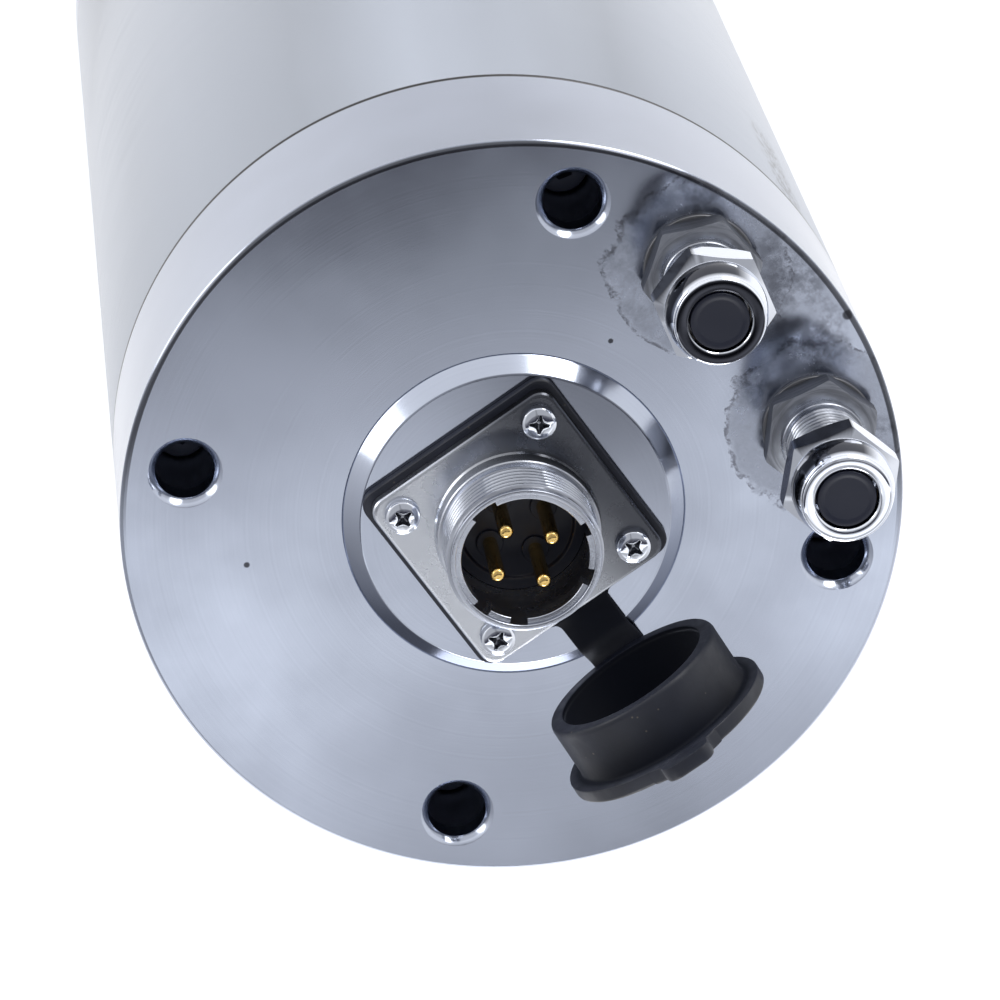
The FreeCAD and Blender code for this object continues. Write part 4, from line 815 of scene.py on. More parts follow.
class Palette:
    """Makes each finish once and hands it out."""

    def __init__(self, stains: Sequence[Point], seam: float) -> None:
        """Prepare the finishes.

        Args:
            stains: Place and radius, in metres, of each dull patch on the rear cap.
            seam: Height of the joint between sleeve and rear cap, in metres.
        """
        self.surfaces: dict[Finish, Surface] = {
            Finish.SATIN: Satin((0.50, 0.535, 0.60), roughness=0.27, anisotropy=0.55, seam=seam),
            Finish.POLISHED: Polished((0.52, 0.558, 0.655), roughness=0.14, roughness_spread=0.03,
                                      stains=tuple(stains), seam=seam),
            Finish.GROUND: Surface((0.55, 0.56, 0.59), roughness=0.24, anisotropy=0.3),
            Finish.BLACKENED: Surface((0.10, 0.105, 0.13), metallic=0.7, roughness=0.42),
            Finish.NICKEL: Nickel((0.54, 0.565, 0.63), roughness=0.27, roughness_spread=0.05,
                                  grain_scale=3200.0, grain_height=0.000022, mottle=0.08),
            Finish.CHROME: Surface((0.84, 0.87, 0.94), roughness=0.05, roughness_spread=0.03,
                                   grain_height=0.000002, darkened_roughness=0.1),
            Finish.ALUMINIUM: Surface((0.62, 0.62, 0.63), roughness=0.34),
            Finish.LAMINATION: Surface((0.24, 0.24, 0.26), roughness=0.45),
            Finish.COPPER: Surface((0.50, 0.19, 0.07), roughness=0.32, coat=0.5),
            Finish.BRASS: Surface((0.66, 0.45, 0.17), roughness=0.28),
            Finish.GOLD: Surface((0.95, 0.64, 0.22), roughness=0.14, grain_height=0.000003),
            Finish.BEARING: Surface((0.60, 0.60, 0.62), roughness=0.14),
            Finish.RESIN: Surface((0.34, 0.18, 0.08), metallic=0.0, roughness=0.55, mottle=0.2),
            Finish.RUBBER: Rubber((0.007, 0.009, 0.018), metallic=0.0, roughness=0.5,
                                  roughness_spread=0.1, grain_scale=1800.0, grain_height=0.00003,
                                  grain_strength=0.5, specular=0.55,
                                  darkened_colour=(0.004, 0.005, 0.009), darkened_specular=0.06),
            Finish.PLASTIC: Surface((0.009, 0.0115, 0.026), metallic=0.0, roughness=0.4,
                                    mottle=0.15, grain_scale=2400.0),
            Finish.LEAD: Surface((0.40, 0.03, 0.02), metallic=0.0, roughness=0.5),
        }
        self._made: dict[Finish, bpy.types.Material] = {}

    def get(self, finish: Finish) -> bpy.types.Material:
        """Give the material of a finish.

        Args:
            finish: The finish.

        Returns:
            Its material.
        """
        if finish not in self._made:
            self._made[finish] = self.surfaces[finish].material(finish.value)
        return self._made[finish]


def ring_places(count: int, radius: float, first: float = 0.0) -> list[Place]:
    """Give points spaced evenly on a circle about the origin, the first at an angle in degrees."""
    angles = [math.radians(first + 360.0 / count * index) for index in range(count)]
    return [(radius * math.cos(angle), radius * math.sin(angle)) for angle in angles]


def polar(vert: BMVert) -> Point:
    """Give a vertex's radius in millimetres, its azimuth in radians and its height."""
    x, y, z = vert.co / MM
    return math.hypot(x, y), math.atan2(y, x), z


def softened(outline: Outline, closed: bool = True, steps: int = 3) -> list[Place]:
    """Round the corners of an outline that carry a third number, their rounding.

    Args:
        outline: Points of radius and height, and optionally a rounding, in millimetres.
        closed: Whether the last point joins the first.
        steps: How many short edges make a rounded corner.

    Returns:
        The outline's plain points.
    """
    count = len(outline)
    most = 0.48
    result: list[Place] = []
    for index, item in enumerate(outline):
        corner = Vector(item[:2])
        is_end = not closed and index in (0, count - 1)
        if len(item) < 3 or is_end:
            result.append((corner.x, corner.y))
            continue
        before = Vector(outline[index - 1][:2]) - corner
        after = Vector(outline[(index + 1) % count][:2]) - corner
        reach = min(item[2], most * before.length, most * after.length)
        start, end = corner + before.normalized() * reach, corner + after.normalized() * reach
        for step in range(steps + 1):
            share = step / steps
            point = start.lerp(corner, share).lerp(corner.lerp(end, share), share)
            result.append((point.x, point.y))
    return result


def new_mesh() -> BMesh:
    """Start a mesh whose vertices can be marked as darker, mostly for painted shade."""
    bm = bmesh.new()
    bm.verts.layers.float.new("darkening")
    return bm


def darkened(bm: BMesh, verts: Iterable[BMVert], amount: float) -> None:
    """Mark vertices as darker, which their material shows; mostly for painted shade.

    Args:
        bm: The mesh.
        verts: The vertices.
        amount: How dark they are made, from 0 to 1.
    """
    layer = bm.verts.layers.float["darkening"]
    for vert in verts:
        vert[layer] = amount


def lathe(outline: Outline, segments: int = 96, closed: bool = True, rounding: int = 3) -> BMesh:
    """Turn an outline about the Z axis.

    Args:
        outline: Points of radius and height in millimetres, with an optional rounding.
        segments: How many steps make the full turn.
        closed: Whether the outline is a ring. An open one starts and ends on the axis.
        rounding: How many short edges make a rounded corner.

    Returns:
        The turned mesh.
    """
    bm = new_mesh()
    verts = [bm.verts.new((radius * MM, 0.0, height * MM))
             for radius, height in softened(outline, closed, rounding)]
    edges = [bm.edges.new(pair) for pair in zip(verts, verts[1:])]
    if closed:
        edges.append(bm.edges.new((verts[-1], verts[0])))
    bmesh.ops.spin(bm, geom=verts + edges, cent=(0, 0, 0), axis=(0, 0, 1), dvec=(0, 0, 0),
                   angle=FULL_TURN, steps=segments, use_merge=True, use_duplicate=False)
    bmesh.ops.remove_doubles(bm, verts=bm.verts, dist=2e-7)
    bmesh.ops.recalc_face_normals(bm, faces=bm.faces)
    return bm


def thread_rows(root: float, low: float, high: float, pitch: float) -> list[Place]:
    """Give the close rows of an outline that a thread is then cut on.

    Args:
        root: The radius of the thread's root.
        low: Where the thread starts.
        high: Where it ends.
        pitch: Its rise in one turn.

    Returns:
        Points of radius and height.
    """
    rows_in_pitch = 8
    count = max(rows_in_pitch, round((high - low) / pitch * rows_in_pitch))
    return [(root, low + (high - low) * index / count) for index in range(count + 1)]


def cut_thread(bm: BMesh, root: float, depth: float, low: float, high: float, pitch: float) -> None:
    """Raise a right-hand helical ridge on the rows of a turned mesh, and paint shade in its grooves.

    Args:
        bm: The turned mesh.
        root: The radius of the rows.
        depth: The height of the ridge.
        low: Where the thread starts.
        high: Where it ends.
        pitch: Its rise in one turn.
    """
    steepness, groove, flank_shade = 1.35, 0.1, 0.55
    for vert in bm.verts:
        radius, azimuth, height = polar(vert)
        if abs(radius - root) > TOLERANCE or not low - TOLERANCE <= height <= high + TOLERANCE:
            continue
        phase = (height / pitch - azimuth / FULL_TURN) % 1.0
        tooth = min(1.0, steepness * (1.0 - abs(2.0 * phase - 1.0)))
        fade = min(1.0, (height - low) / (0.5 * pitch), (high - height) / (0.5 * pitch))
        scale = 1.0 + depth * tooth * max(0.0, fade) / root
        # Painted shade: full in the groove, fading up the flanks.
        darkened(bm, [vert], 1.0 if tooth < groove else flank_shade * (1.0 - tooth))
        vert.co.x *= scale
        vert.co.y *= scale


def mill_hexagon(bm: BMesh, marker: float, flats: float, blunt: float, low: float, high: float,
                 low_face: float, high_face: float) -> None:
    """Turn two rows of a turned mesh into a hexagon with turned chamfers.

    Args:
        bm: The turned mesh, whose segments are a multiple of six.
        marker: The radius of the rows to move.
        flats: The width across the flats.
        blunt: The radius that the corners are turned down to.
        low: The height of the lower face.
        high: The height of the upper face.
        low_face: The radius where the lower chamfer starts.
        high_face: The radius where the upper chamfer starts.
    """
    slope = math.tan(math.radians(30.0))
    for vert in bm.verts:
        radius, azimuth, height = polar(vert)
        if abs(radius - marker) > TOLERANCE:
            continue
        angle = math.degrees(azimuth) % 60.0 - 30.0
        wanted = min(flats / 2.0 / math.cos(math.radians(angle)), blunt)
        if abs(height - low) < TOLERANCE:
            vert.co.z = (low + max(0.0, wanted - low_face) * slope) * MM
        elif abs(height - high) < TOLERANCE:
            vert.co.z = (high - max(0.0, wanted - high_face) * slope) * MM
        vert.co.x *= wanted / radius
        vert.co.y *= wanted / radius


def moved(bm: BMesh, x: float = 0.0, y: float = 0.0, z: float = 0.0, turn: float = 0.0) -> BMesh:
    """Turn a mesh about Z, then shift it.

    Args:
        bm: The mesh.
        x: The shift along X, in millimetres.
        y: The shift along Y.
        z: The shift along Z.
        turn: The turn about Z, in degrees.

    Returns:
        The same mesh.
    """
    turned = Matrix.Rotation(math.radians(turn), 4, "Z")
    shifted = Matrix.Translation((x * MM, y * MM, z * MM))
    bmesh.ops.transform(bm, matrix=shifted @ turned, verts=bm.verts)
    return bm


def merged(parts: Iterable[BMesh]) -> BMesh:
    """Join meshes into one, freeing the parts.

    Args:
        parts: The meshes.

    Returns:
        The joined mesh.
    """
    whole = bmesh.new()
    for part in parts:
        mesh = bpy.data.meshes.new("joined_part")
        part.to_mesh(mesh)
        part.free()
        whole.from_mesh(mesh)
        bpy.data.meshes.remove(mesh)
    return whole


def loop_of(bm: BMesh, points: Iterable[Point]) -> Loop:
    """Add a closed loop of vertices and edges.

    Args:
        bm: The mesh.
        points: The loop's corners, in millimetres.

    Returns:
        The loop's vertices.
    """
    verts = [bm.verts.new(Vector(point) * MM) for point in points]
    for index, vert in enumerate(verts):
        bm.edges.new((verts[index - 1], vert))
    return verts


def edges_of(bm: BMesh, *loops: Loop) -> list[BMEdge]:
    """Give the edges of closed loops of vertices."""
    return [bm.edges.get((loop[index - 1], vert))
            for loop in loops for index, vert in enumerate(loop)]


def fill(bm: BMesh, *loops: Loop) -> None:
    """Fill the level space between an outer loop and any holes."""
    bmesh.ops.triangle_fill(bm, use_beauty=True, use_dissolve=False, edges=edges_of(bm, *loops))


def close(bm: BMesh, loop: Loop) -> None:
    """Close a loop with one face."""
    bmesh.ops.contextual_create(bm, geom=edges_of(bm, loop))


def extruded(bm: BMesh, loop: Loop) -> Loop:
    """Extrude a closed loop in place.

    Args:
        bm: The mesh.
        loop: The loop's vertices.

    Returns:
        The new loop's vertices, in the same order.
    """
    made = bmesh.ops.extrude_edge_only(bm, edges=edges_of(bm, loop))["geom"]
    fresh = {item for item in made if isinstance(item, BMVert)}
    return [next(other for edge in vert.link_edges if (other := edge.other_vert(vert)) in fresh)
            for vert in loop]


def sink(bm: BMesh, loop: Loop, steps: Iterable[Place], reach: float = 1.0,
         centre: Place = (0.0, 0.0)) -> Loop:
    """Extrude a closed loop through a row of sizes and heights.

    Args:
        bm: The mesh.
        loop: The loop's vertices.
        steps: Pairs of size and height, in millimetres.
        reach: The size of the first loop, or 1 where the steps' sizes are scales.
        centre: The point that the loop is scaled about, in millimetres.

    Returns:
        The last loop.
    """
    middle = Vector((*centre, 0.0)) * MM
    spokes = [vert.co - middle for vert in loop]
    for size, height in steps:
        loop = extruded(bm, loop)
        scale = size / reach
        for vert, spoke in zip(loop, spokes):
            vert.co = (middle.x + spoke.x * scale, middle.y + spoke.y * scale, height * MM)
    return loop


def swept(rings: Sequence[Sequence[Point]]) -> BMesh:
    """Skin a row of rings that have as many points each, and close both ends.

    Args:
        rings: The rings' points, in millimetres.

    Returns:
        The mesh.
    """
    bm = new_mesh()
    first = loop = loop_of(bm, rings[0])
    for ring in rings[1:]:
        loop = extruded(bm, loop)
        for vert, point in zip(loop, ring):
            vert.co = Vector(point) * MM
    close(bm, first)
    close(bm, loop)
    return bm


def circle_points(centre: Place, z: float, radius: float, count: int = 48,
                  turn: float = 0.0) -> list[Point]:
    """Give the corners of a level circle or polygon, counter-clockwise from above."""
    return [(centre[0] + x, centre[1] + y, z) for x, y in ring_places(count, radius, turn)]


def rounded_square(side: float, corner: float, z: float, steps: int = 8) -> list[Point]:
    """Give the corners of a level square with rounded corners.

    Args:
        side: The square's side in millimetres.
        corner: The corner's radius.
        z: The height.
        steps: How many edges make a corner.

    Returns:
        The points, counter-clockwise from above.
    """
    reach = side / 2.0 - corner
    points: list[Point] = []
    for quarter, (x, y) in enumerate(((1, 1), (-1, 1), (-1, -1), (1, -1))):
        for step in range(steps + 1):
            angle = math.radians(90.0 * (quarter + step / steps))
            points.append((x * reach + corner * math.cos(angle),
                           y * reach + corner * math.sin(angle), z))
    return points


@dataclass
class Workshop:
    """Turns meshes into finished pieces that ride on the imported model."""

    palette: Palette
    pieces: list[bpy.types.Object] = field(default_factory=list)

    def piece(self, name: str, bm: BMesh, finish: Finish, body: Body | str, replaced: str,
              sharp: float = 28.0, ride: bool = True) -> bpy.types.Object:
        """Finish a mesh as a piece.

        Args:
            name: The piece's name.
            bm: Its mesh, which is freed.
            finish: Its material slot.
            body: The body that it rides on.
            replaced: The node that it stands for.
            sharp: The angle, in degrees, from which an edge stays sharp.
            ride: Whether it rides on the body at once.

        Returns:
            The new object.
        """
        bmesh.ops.recalc_face_normals(bm, faces=bm.faces)
        mesh = bpy.data.meshes.new(name)
        bm.to_mesh(mesh)
        bm.free()
        mesh.shade_smooth()
        mesh.set_sharp_from_angle(angle=math.radians(sharp))
        mesh.materials.append(self.palette.get(finish))
        obj = bpy.data.objects.new(name, mesh)
        bpy.context.scene.collection.objects.link(obj)
        if ride:
            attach(obj, body.value if isinstance(body, Body) else body)
        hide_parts(replaced)
        self.pieces.append(obj)
        return obj


@dataclass
class Casing:
    """The sleeve between the two caps, and the polished rear cap."""

    radius: float = 50.0
    sleeve_start: float = 46.0
    seam: float = 227.5
    face: float = 254.0
    sleeve_bore: float = 46.0
    cavity: float = 34.35
    ceiling: float = 246.0
    spigot: float = 45.9
    spigot_end: float = 223.5
    edge: float = 0.45
    boss_base: float = 21.8
    boss_top: float = 19.8
    boss_height: float = 2.0
    connector_hole: float = 9.4
    screw_circle: float = 42.25
    bore: float = 3.75
    sink_width: float = 1.0
    bore_depth: float = 18.0
    shank: float = 2.05
    shank_end: float = 223.6

    def build(self, shop: Workshop) -> None:
        """Make the sleeve and the rear cap.

        Args:
            shop: The workshop that finishes the pieces.
        """
        sleeve = lathe([
            (self.sleeve_bore, self.sleeve_start), (self.radius, self.sleeve_start, 0.15),
            (self.radius, self.seam, 0.25), (self.sleeve_bore, self.seam)], 192)
        shop.piece("outer_tube", sleeve, Finish.SATIN, Body.HOUSING, "outer_sleeve")
        shop.piece("rear_end_cap", self._cap(), Finish.POLISHED, Body.HOUSING, "rear_cap")

    def _cap(self) -> BMesh:
        """Make the rear cap's mesh, face first.

        Returns:
            The mesh.
        """
        bm = new_mesh()
        face, seat = self.face, self.face - self.bore_depth
        rim = self.radius - self.edge - 0.1
        foot = self.boss_base + 0.16
        wide = self.bore + self.sink_width
        outer = loop_of(bm, circle_points((0, 0), face, rim, 256))
        inner = loop_of(bm, circle_points((0, 0), face, foot, 160))
        holes = [(place, loop_of(bm, circle_points(place, face, wide, 64)))
                 for place in ring_places(4, self.screw_circle, 45.0)]
        fill(bm, outer, inner, *(loop for _, loop in holes))
        for place, loop in holes:
            sink(bm, loop, [
                (0.985 * wide, face - 0.05),
                (self.bore + 0.01 * wide, face - self.sink_width + 0.05),
                (self.bore, face - self.sink_width - 0.06), (self.bore, seat), (self.shank, seat),
                (self.shank, self.shank_end)], wide, place)
        top = face + self.boss_height
        inside = sink(bm, inner, [
            (self.boss_base + 0.05, face - 0.14), (self.boss_base, face),
            (self.boss_base - 0.12, face + 0.12), (self.boss_top + 0.15, top - 0.15),
            (self.boss_top + 0.05, top - 0.05), (self.boss_top - 0.06, top),
            (self.boss_top - 0.14, top), (self.connector_hole, top),
            (self.connector_hole, self.ceiling), (self.cavity, self.ceiling),
            (self.cavity, self.spigot_end)], foot)
        outside = sink(bm, outer, [
            (rim + 0.1, face), (rim + 0.2, face - 0.06), (self.radius, face - self.edge),
            (self.radius, self.seam + 0.22), (self.radius - 0.22, self.seam),
            (self.spigot, self.seam), (self.spigot, self.spigot_end)], rim)
        bmesh.ops.bridge_loops(bm, edges=edges_of(bm, inside, outside))
        return bm


@dataclass
class CapScrews:
    """Socket head cap screws on a circle, from the face under their heads to their tips."""

    seat: float
    tip: float
    circle: float = 42.25
    shank: float = 2.0
    head: float = 3.5
    height: float = 4.0
    across_flats: float = 3.0
    socket_depth: float = 2.0
    count: int = 4
    first_angle: float = 45.0
    edge: float = 0.45
    socket_shade: float = 0.8

    def build(self, shop: Workshop, name: str, node: str) -> None:
        """Make the screws as one piece.

        Args:
            shop: The workshop that finishes the piece.
            name: The piece's name.
            node: The node that it stands for.
        """
        seat, toward = self.seat, 1.0 if self.tip < self.seat else -1.0
        top = seat + toward * self.height
        corner = self.across_flats / math.sqrt(3.0)
        reach = self.head - self.edge
        screws = []
        for index, place in enumerate(ring_places(self.count, self.circle, self.first_angle)):
            bm = new_mesh()
            hexagon = loop_of(bm, circle_points((0, 0), top, corner, 6, 17.0 * index))
            face = loop_of(bm, circle_points((0, 0), top, reach))
            fill(bm, hexagon, face)
            floor = sink(bm, hexagon, [(0.96, top - toward * 0.12),
                                       (0.96, top - toward * self.socket_depth)])
            close(bm, floor)
            # Painted shade on the socket's floor.
            darkened(bm, floor, self.socket_shade)
            close(bm, sink(bm, face, [
                (reach + 0.28, top - toward * 0.12), (self.head, top - toward * self.edge),
                (self.head, seat), (self.shank, seat), (self.shank, self.tip)], reach))
            screws.append(moved(bm, *place))
        shop.piece(name, merged(screws), Finish.BLACKENED, Body.HOUSING, node)


@dataclass
class PanelConnector:
    """The square flanged connector: gasket, shell, insert, pins and screws."""

    base: float = 256.0
    gasket_side: float = 29.0
    gasket_shift: float = -0.2
    gasket_thickness: float = 1.2
    gasket_corner: float = 2.2
    gasket_hole: float = 9.6
    flange_side: float = 27.5
    flange_corner: float = 2.4
    flange_thickness: float = 1.8
    flange_bevel: float = 0.35
    tail: float = 248.0
    tail_radius: float = 9.3
    bore: float = 8.8
    collar: float = 10.4
    collar_length: float = 2.5
    thread: float = 9.95
    thread_depth: float = 0.5
    pitch: float = 1.0
    top: float = 269.0
    lip: float = 8.05
    lip_length: float = 2.6
    lip_recess: float = 0.4
    insert_face: float = 257.5
    insert_depth: float = 10.0
    insert_collar: float = 1.75
    pin_circle: float = 4.15
    pin: float = 0.95
    pin_top: float = 268.2
    cup: float = 1.3
    cup_bottom: float = 242.5
    screw_circle: float = 14.85
    screw_head: float = 2.25
    screw_height: float = 1.5
    screw_shank: float = 1.5
    screw_length: float = 10.0
    screw_turns: tuple[float, ...] = (20.0, 50.0, 8.0, 33.0)
    cross: tuple[Place, ...] = ((1.30, -0.17), (1.36, 0.0), (1.30, 0.17), (0.78, 0.30),
                                (0.47, 0.47), (0.30, 0.78))
    cross_shade: float = 0.72
    keyways: tuple[Place, ...] = (
        (183.0, 11.5), (81.0, 6.5), (36.0, 8.0), (-41.0, 7.5), (-75.0, 7.5))

    @property
    def flange_top(self) -> float:
        """Height of the flange's upper face."""
        return self.base + self.gasket_thickness + self.flange_thickness

    def build(self, shop: Workshop) -> None:
        """Make every piece of the connector.

        Args:
            shop: The workshop that finishes the pieces.
        """
        shell = merged([self._flange(), self._barrel(), self._lip()])
        for name, bm, finish, node in (
                ("rubber_gasket", self._gasket(), Finish.RUBBER, "connector_gasket"),
                ("threaded_shell", shell, Finish.NICKEL, "connector_shell"),
                ("pin_insert", self._insert(), Finish.PLASTIC, "connector_insert"),
                ("contact_pins", self._pins(), Finish.GOLD, "connector_pins"),
                ("cross_head_screws", self._screws(), Finish.CHROME, "connector_screws")):
            shop.piece(name, bm, finish, Body.HOUSING, node)

    def _gasket(self) -> BMesh:
        """Make the rubber sheet under the flange.

        Returns:
            The mesh.
        """
        bm = new_mesh()
        low, high = self.base, self.base + self.gasket_thickness
        side, cut = self.gasket_side, self.gasket_side - 0.3
        outer = loop_of(bm, rounded_square(cut, self.gasket_corner, high))
        inner = loop_of(bm, circle_points((0, 0), high, self.gasket_hole, 64))
        fill(bm, outer, inner)
        outer = sink(bm, outer, [((cut + side) / 2.0, high - 0.06), (side, high - 0.2),
                                 (side, low + 0.15), (cut, low)], cut)
        fill(bm, outer, sink(bm, inner, [(1.0, low)]))
        return moved(bm, x=self.gasket_shift)

    def _flange(self) -> BMesh:
        """Make the flange with its screw holes.

        Returns:
            The mesh.
        """
        bm = new_mesh()
        low, high, bevel = self.base + self.gasket_thickness, self.flange_top, self.flange_bevel
        side, flat = self.flange_side - 2.0 * bevel - 0.16, self.flange_side - 2.0 * bevel
        outer = loop_of(bm, rounded_square(side, self.flange_corner - bevel, high, 10))
        holes = [loop_of(bm, circle_points((0, 0), high, self.tail_radius, 96))]
        holes += [loop_of(bm, circle_points(place, high, self.screw_shank + 0.15, 32))
                  for place in ring_places(4, self.screw_circle, 45.0)]
        fill(bm, outer, *holes)
        outer = sink(bm, outer, [
            (flat, high), (flat + 0.6 * (self.flange_side - flat), high - 0.1),
            (self.flange_side, high - bevel), (self.flange_side, low + 0.1),
            ((side + self.flange_side) / 2.0, low)], side)
        fill(bm, outer, *(sink(bm, hole, [(1.0, low)]) for hole in holes))
        return bm

    def _barrel(self) -> BMesh:
        """Make the collar and the threaded barrel.

        Returns:
            The mesh.
        """
        flange, collar_top = self.flange_top, self.flange_top + self.collar_length
        root = self.thread - self.thread_depth
        low, high = collar_top + 0.15, self.top - 0.35
        outline = [
            (self.bore, self.tail), (self.tail_radius, self.tail, 0.2),
            (self.tail_radius, flange - 0.3), (self.collar + 0.25, flange - 0.05),
            (self.collar + 0.02, flange + 0.3), (self.collar, collar_top, 0.7),
            (root + 0.05, collar_top + 0.02), *thread_rows(root, low, high, self.pitch),
            (root, self.top, 0.25), (self.bore, self.top, 0.2)]
        bm = lathe(outline, 144)
        cut_thread(bm, root, self.thread_depth, low, high, self.pitch)
        return bm

    def _lip(self) -> BMesh:
        """Make the inner lip, parted by its keyways.

        Returns:
            The mesh.
        """
        top = self.top - self.lip_recess
        low, back = top - self.lip_length, self.bore + 0.1
        bm = lathe([(self.lip, low, 0.1), (back, low), (back, top), (self.lip, top, 0.2)], 240)
        gone = []
        for face in bm.faces:
            centre = face.calc_center_median()
            angle = math.degrees(math.atan2(centre.y, centre.x))
            if any(abs((angle - middle + 180.0) % 360.0 - 180.0) < half
                   for middle, half in self.keyways):
                gone.append(face)
        bmesh.ops.delete(bm, geom=gone, context="FACES")
        bmesh.ops.holes_fill(bm, edges=[edge for edge in bm.edges if edge.is_boundary], sides=0)
        return bm

    def _insert(self) -> BMesh:
        """Make the moulded insert with a low collar round each pin.

        Returns:
            The mesh.
        """
        face, rim, collar = self.insert_face, self.bore - 0.06, self.insert_collar
        low = face - self.insert_depth
        disc = lathe([(0.0, low), (rim, low), (rim, face), (7.4, face, 0.2), (7.1, face - 0.5, 0.1),
                      (0.0, face - 0.5)], 96, closed=False)
        collars = [moved(lathe([(0.0, face - 0.6), (collar, face - 0.6), (collar, face, 0.2),
                                (self.pin, face), (self.pin, face - 0.4), (0.0, face - 0.4)],
                               40, closed=False), *place)
                   for place in ring_places(4, self.pin_circle)]
        return merged([disc] + collars)

    def _pins(self) -> BMesh:
        """Make the contact pins, each with a rounded tip and a solder cup.

        Returns:
            The mesh.
        """
        low, cup, top = self.insert_face - self.insert_depth - 0.05, self.cup_bottom, self.pin_top
        return merged([moved(lathe([
            (0.0, cup + 3.5), (0.85, cup + 3.2), (0.85, cup), (self.cup, cup), (self.cup, low, 0.1),
            (self.pin, low), (self.pin, top - 0.55, 0.3), (0.72, top - 0.2, 0.3), (0.42, top, 0.25),
            (0.0, top)], 40, closed=False, rounding=5), *place)
            for place in ring_places(4, self.pin_circle)])

    def _screws(self) -> BMesh:
        """Make the pan head screws with their cross recesses.

        Returns:
            The mesh.
        """
        base, head = self.flange_top, self.screw_head
        top, reach = base + self.screw_height, head * 0.62
        screws = []
        for place, turn in zip(ring_places(4, self.screw_circle, 45.0), self.screw_turns):
            bm = new_mesh()
            arms = [Matrix.Rotation(math.radians(90.0 * arm), 3, "Z") for arm in range(4)]
            recess = loop_of(bm, [arm @ Vector((x, y, top)) for arm in arms for x, y in self.cross])
            crown = loop_of(bm, circle_points((0, 0), top, reach))
            fill(bm, recess, crown)
            close(bm, sink(bm, recess, [(0.95, top - 0.07), (0.90, top - 0.16), (0.62, top - 0.8),
                                        (0.25, top - 1.05)]))
            # Painted shade deep in the cross recess.
            deep = (top - 0.12) * MM
            darkened(bm, [vert for vert in bm.verts if vert.co.z < deep], self.cross_shade)
            close(bm, sink(bm, crown, [
                (head * 0.82, top - 0.14), (head * 0.95, top - 0.42), (head, top - 0.85),
                (head, base + 0.12), (head - 0.12, base), (self.screw_shank, base),
                (self.screw_shank, base - self.screw_length)], reach))
            screws.append(moved(bm, *place, turn=turn))
        return merged(screws)


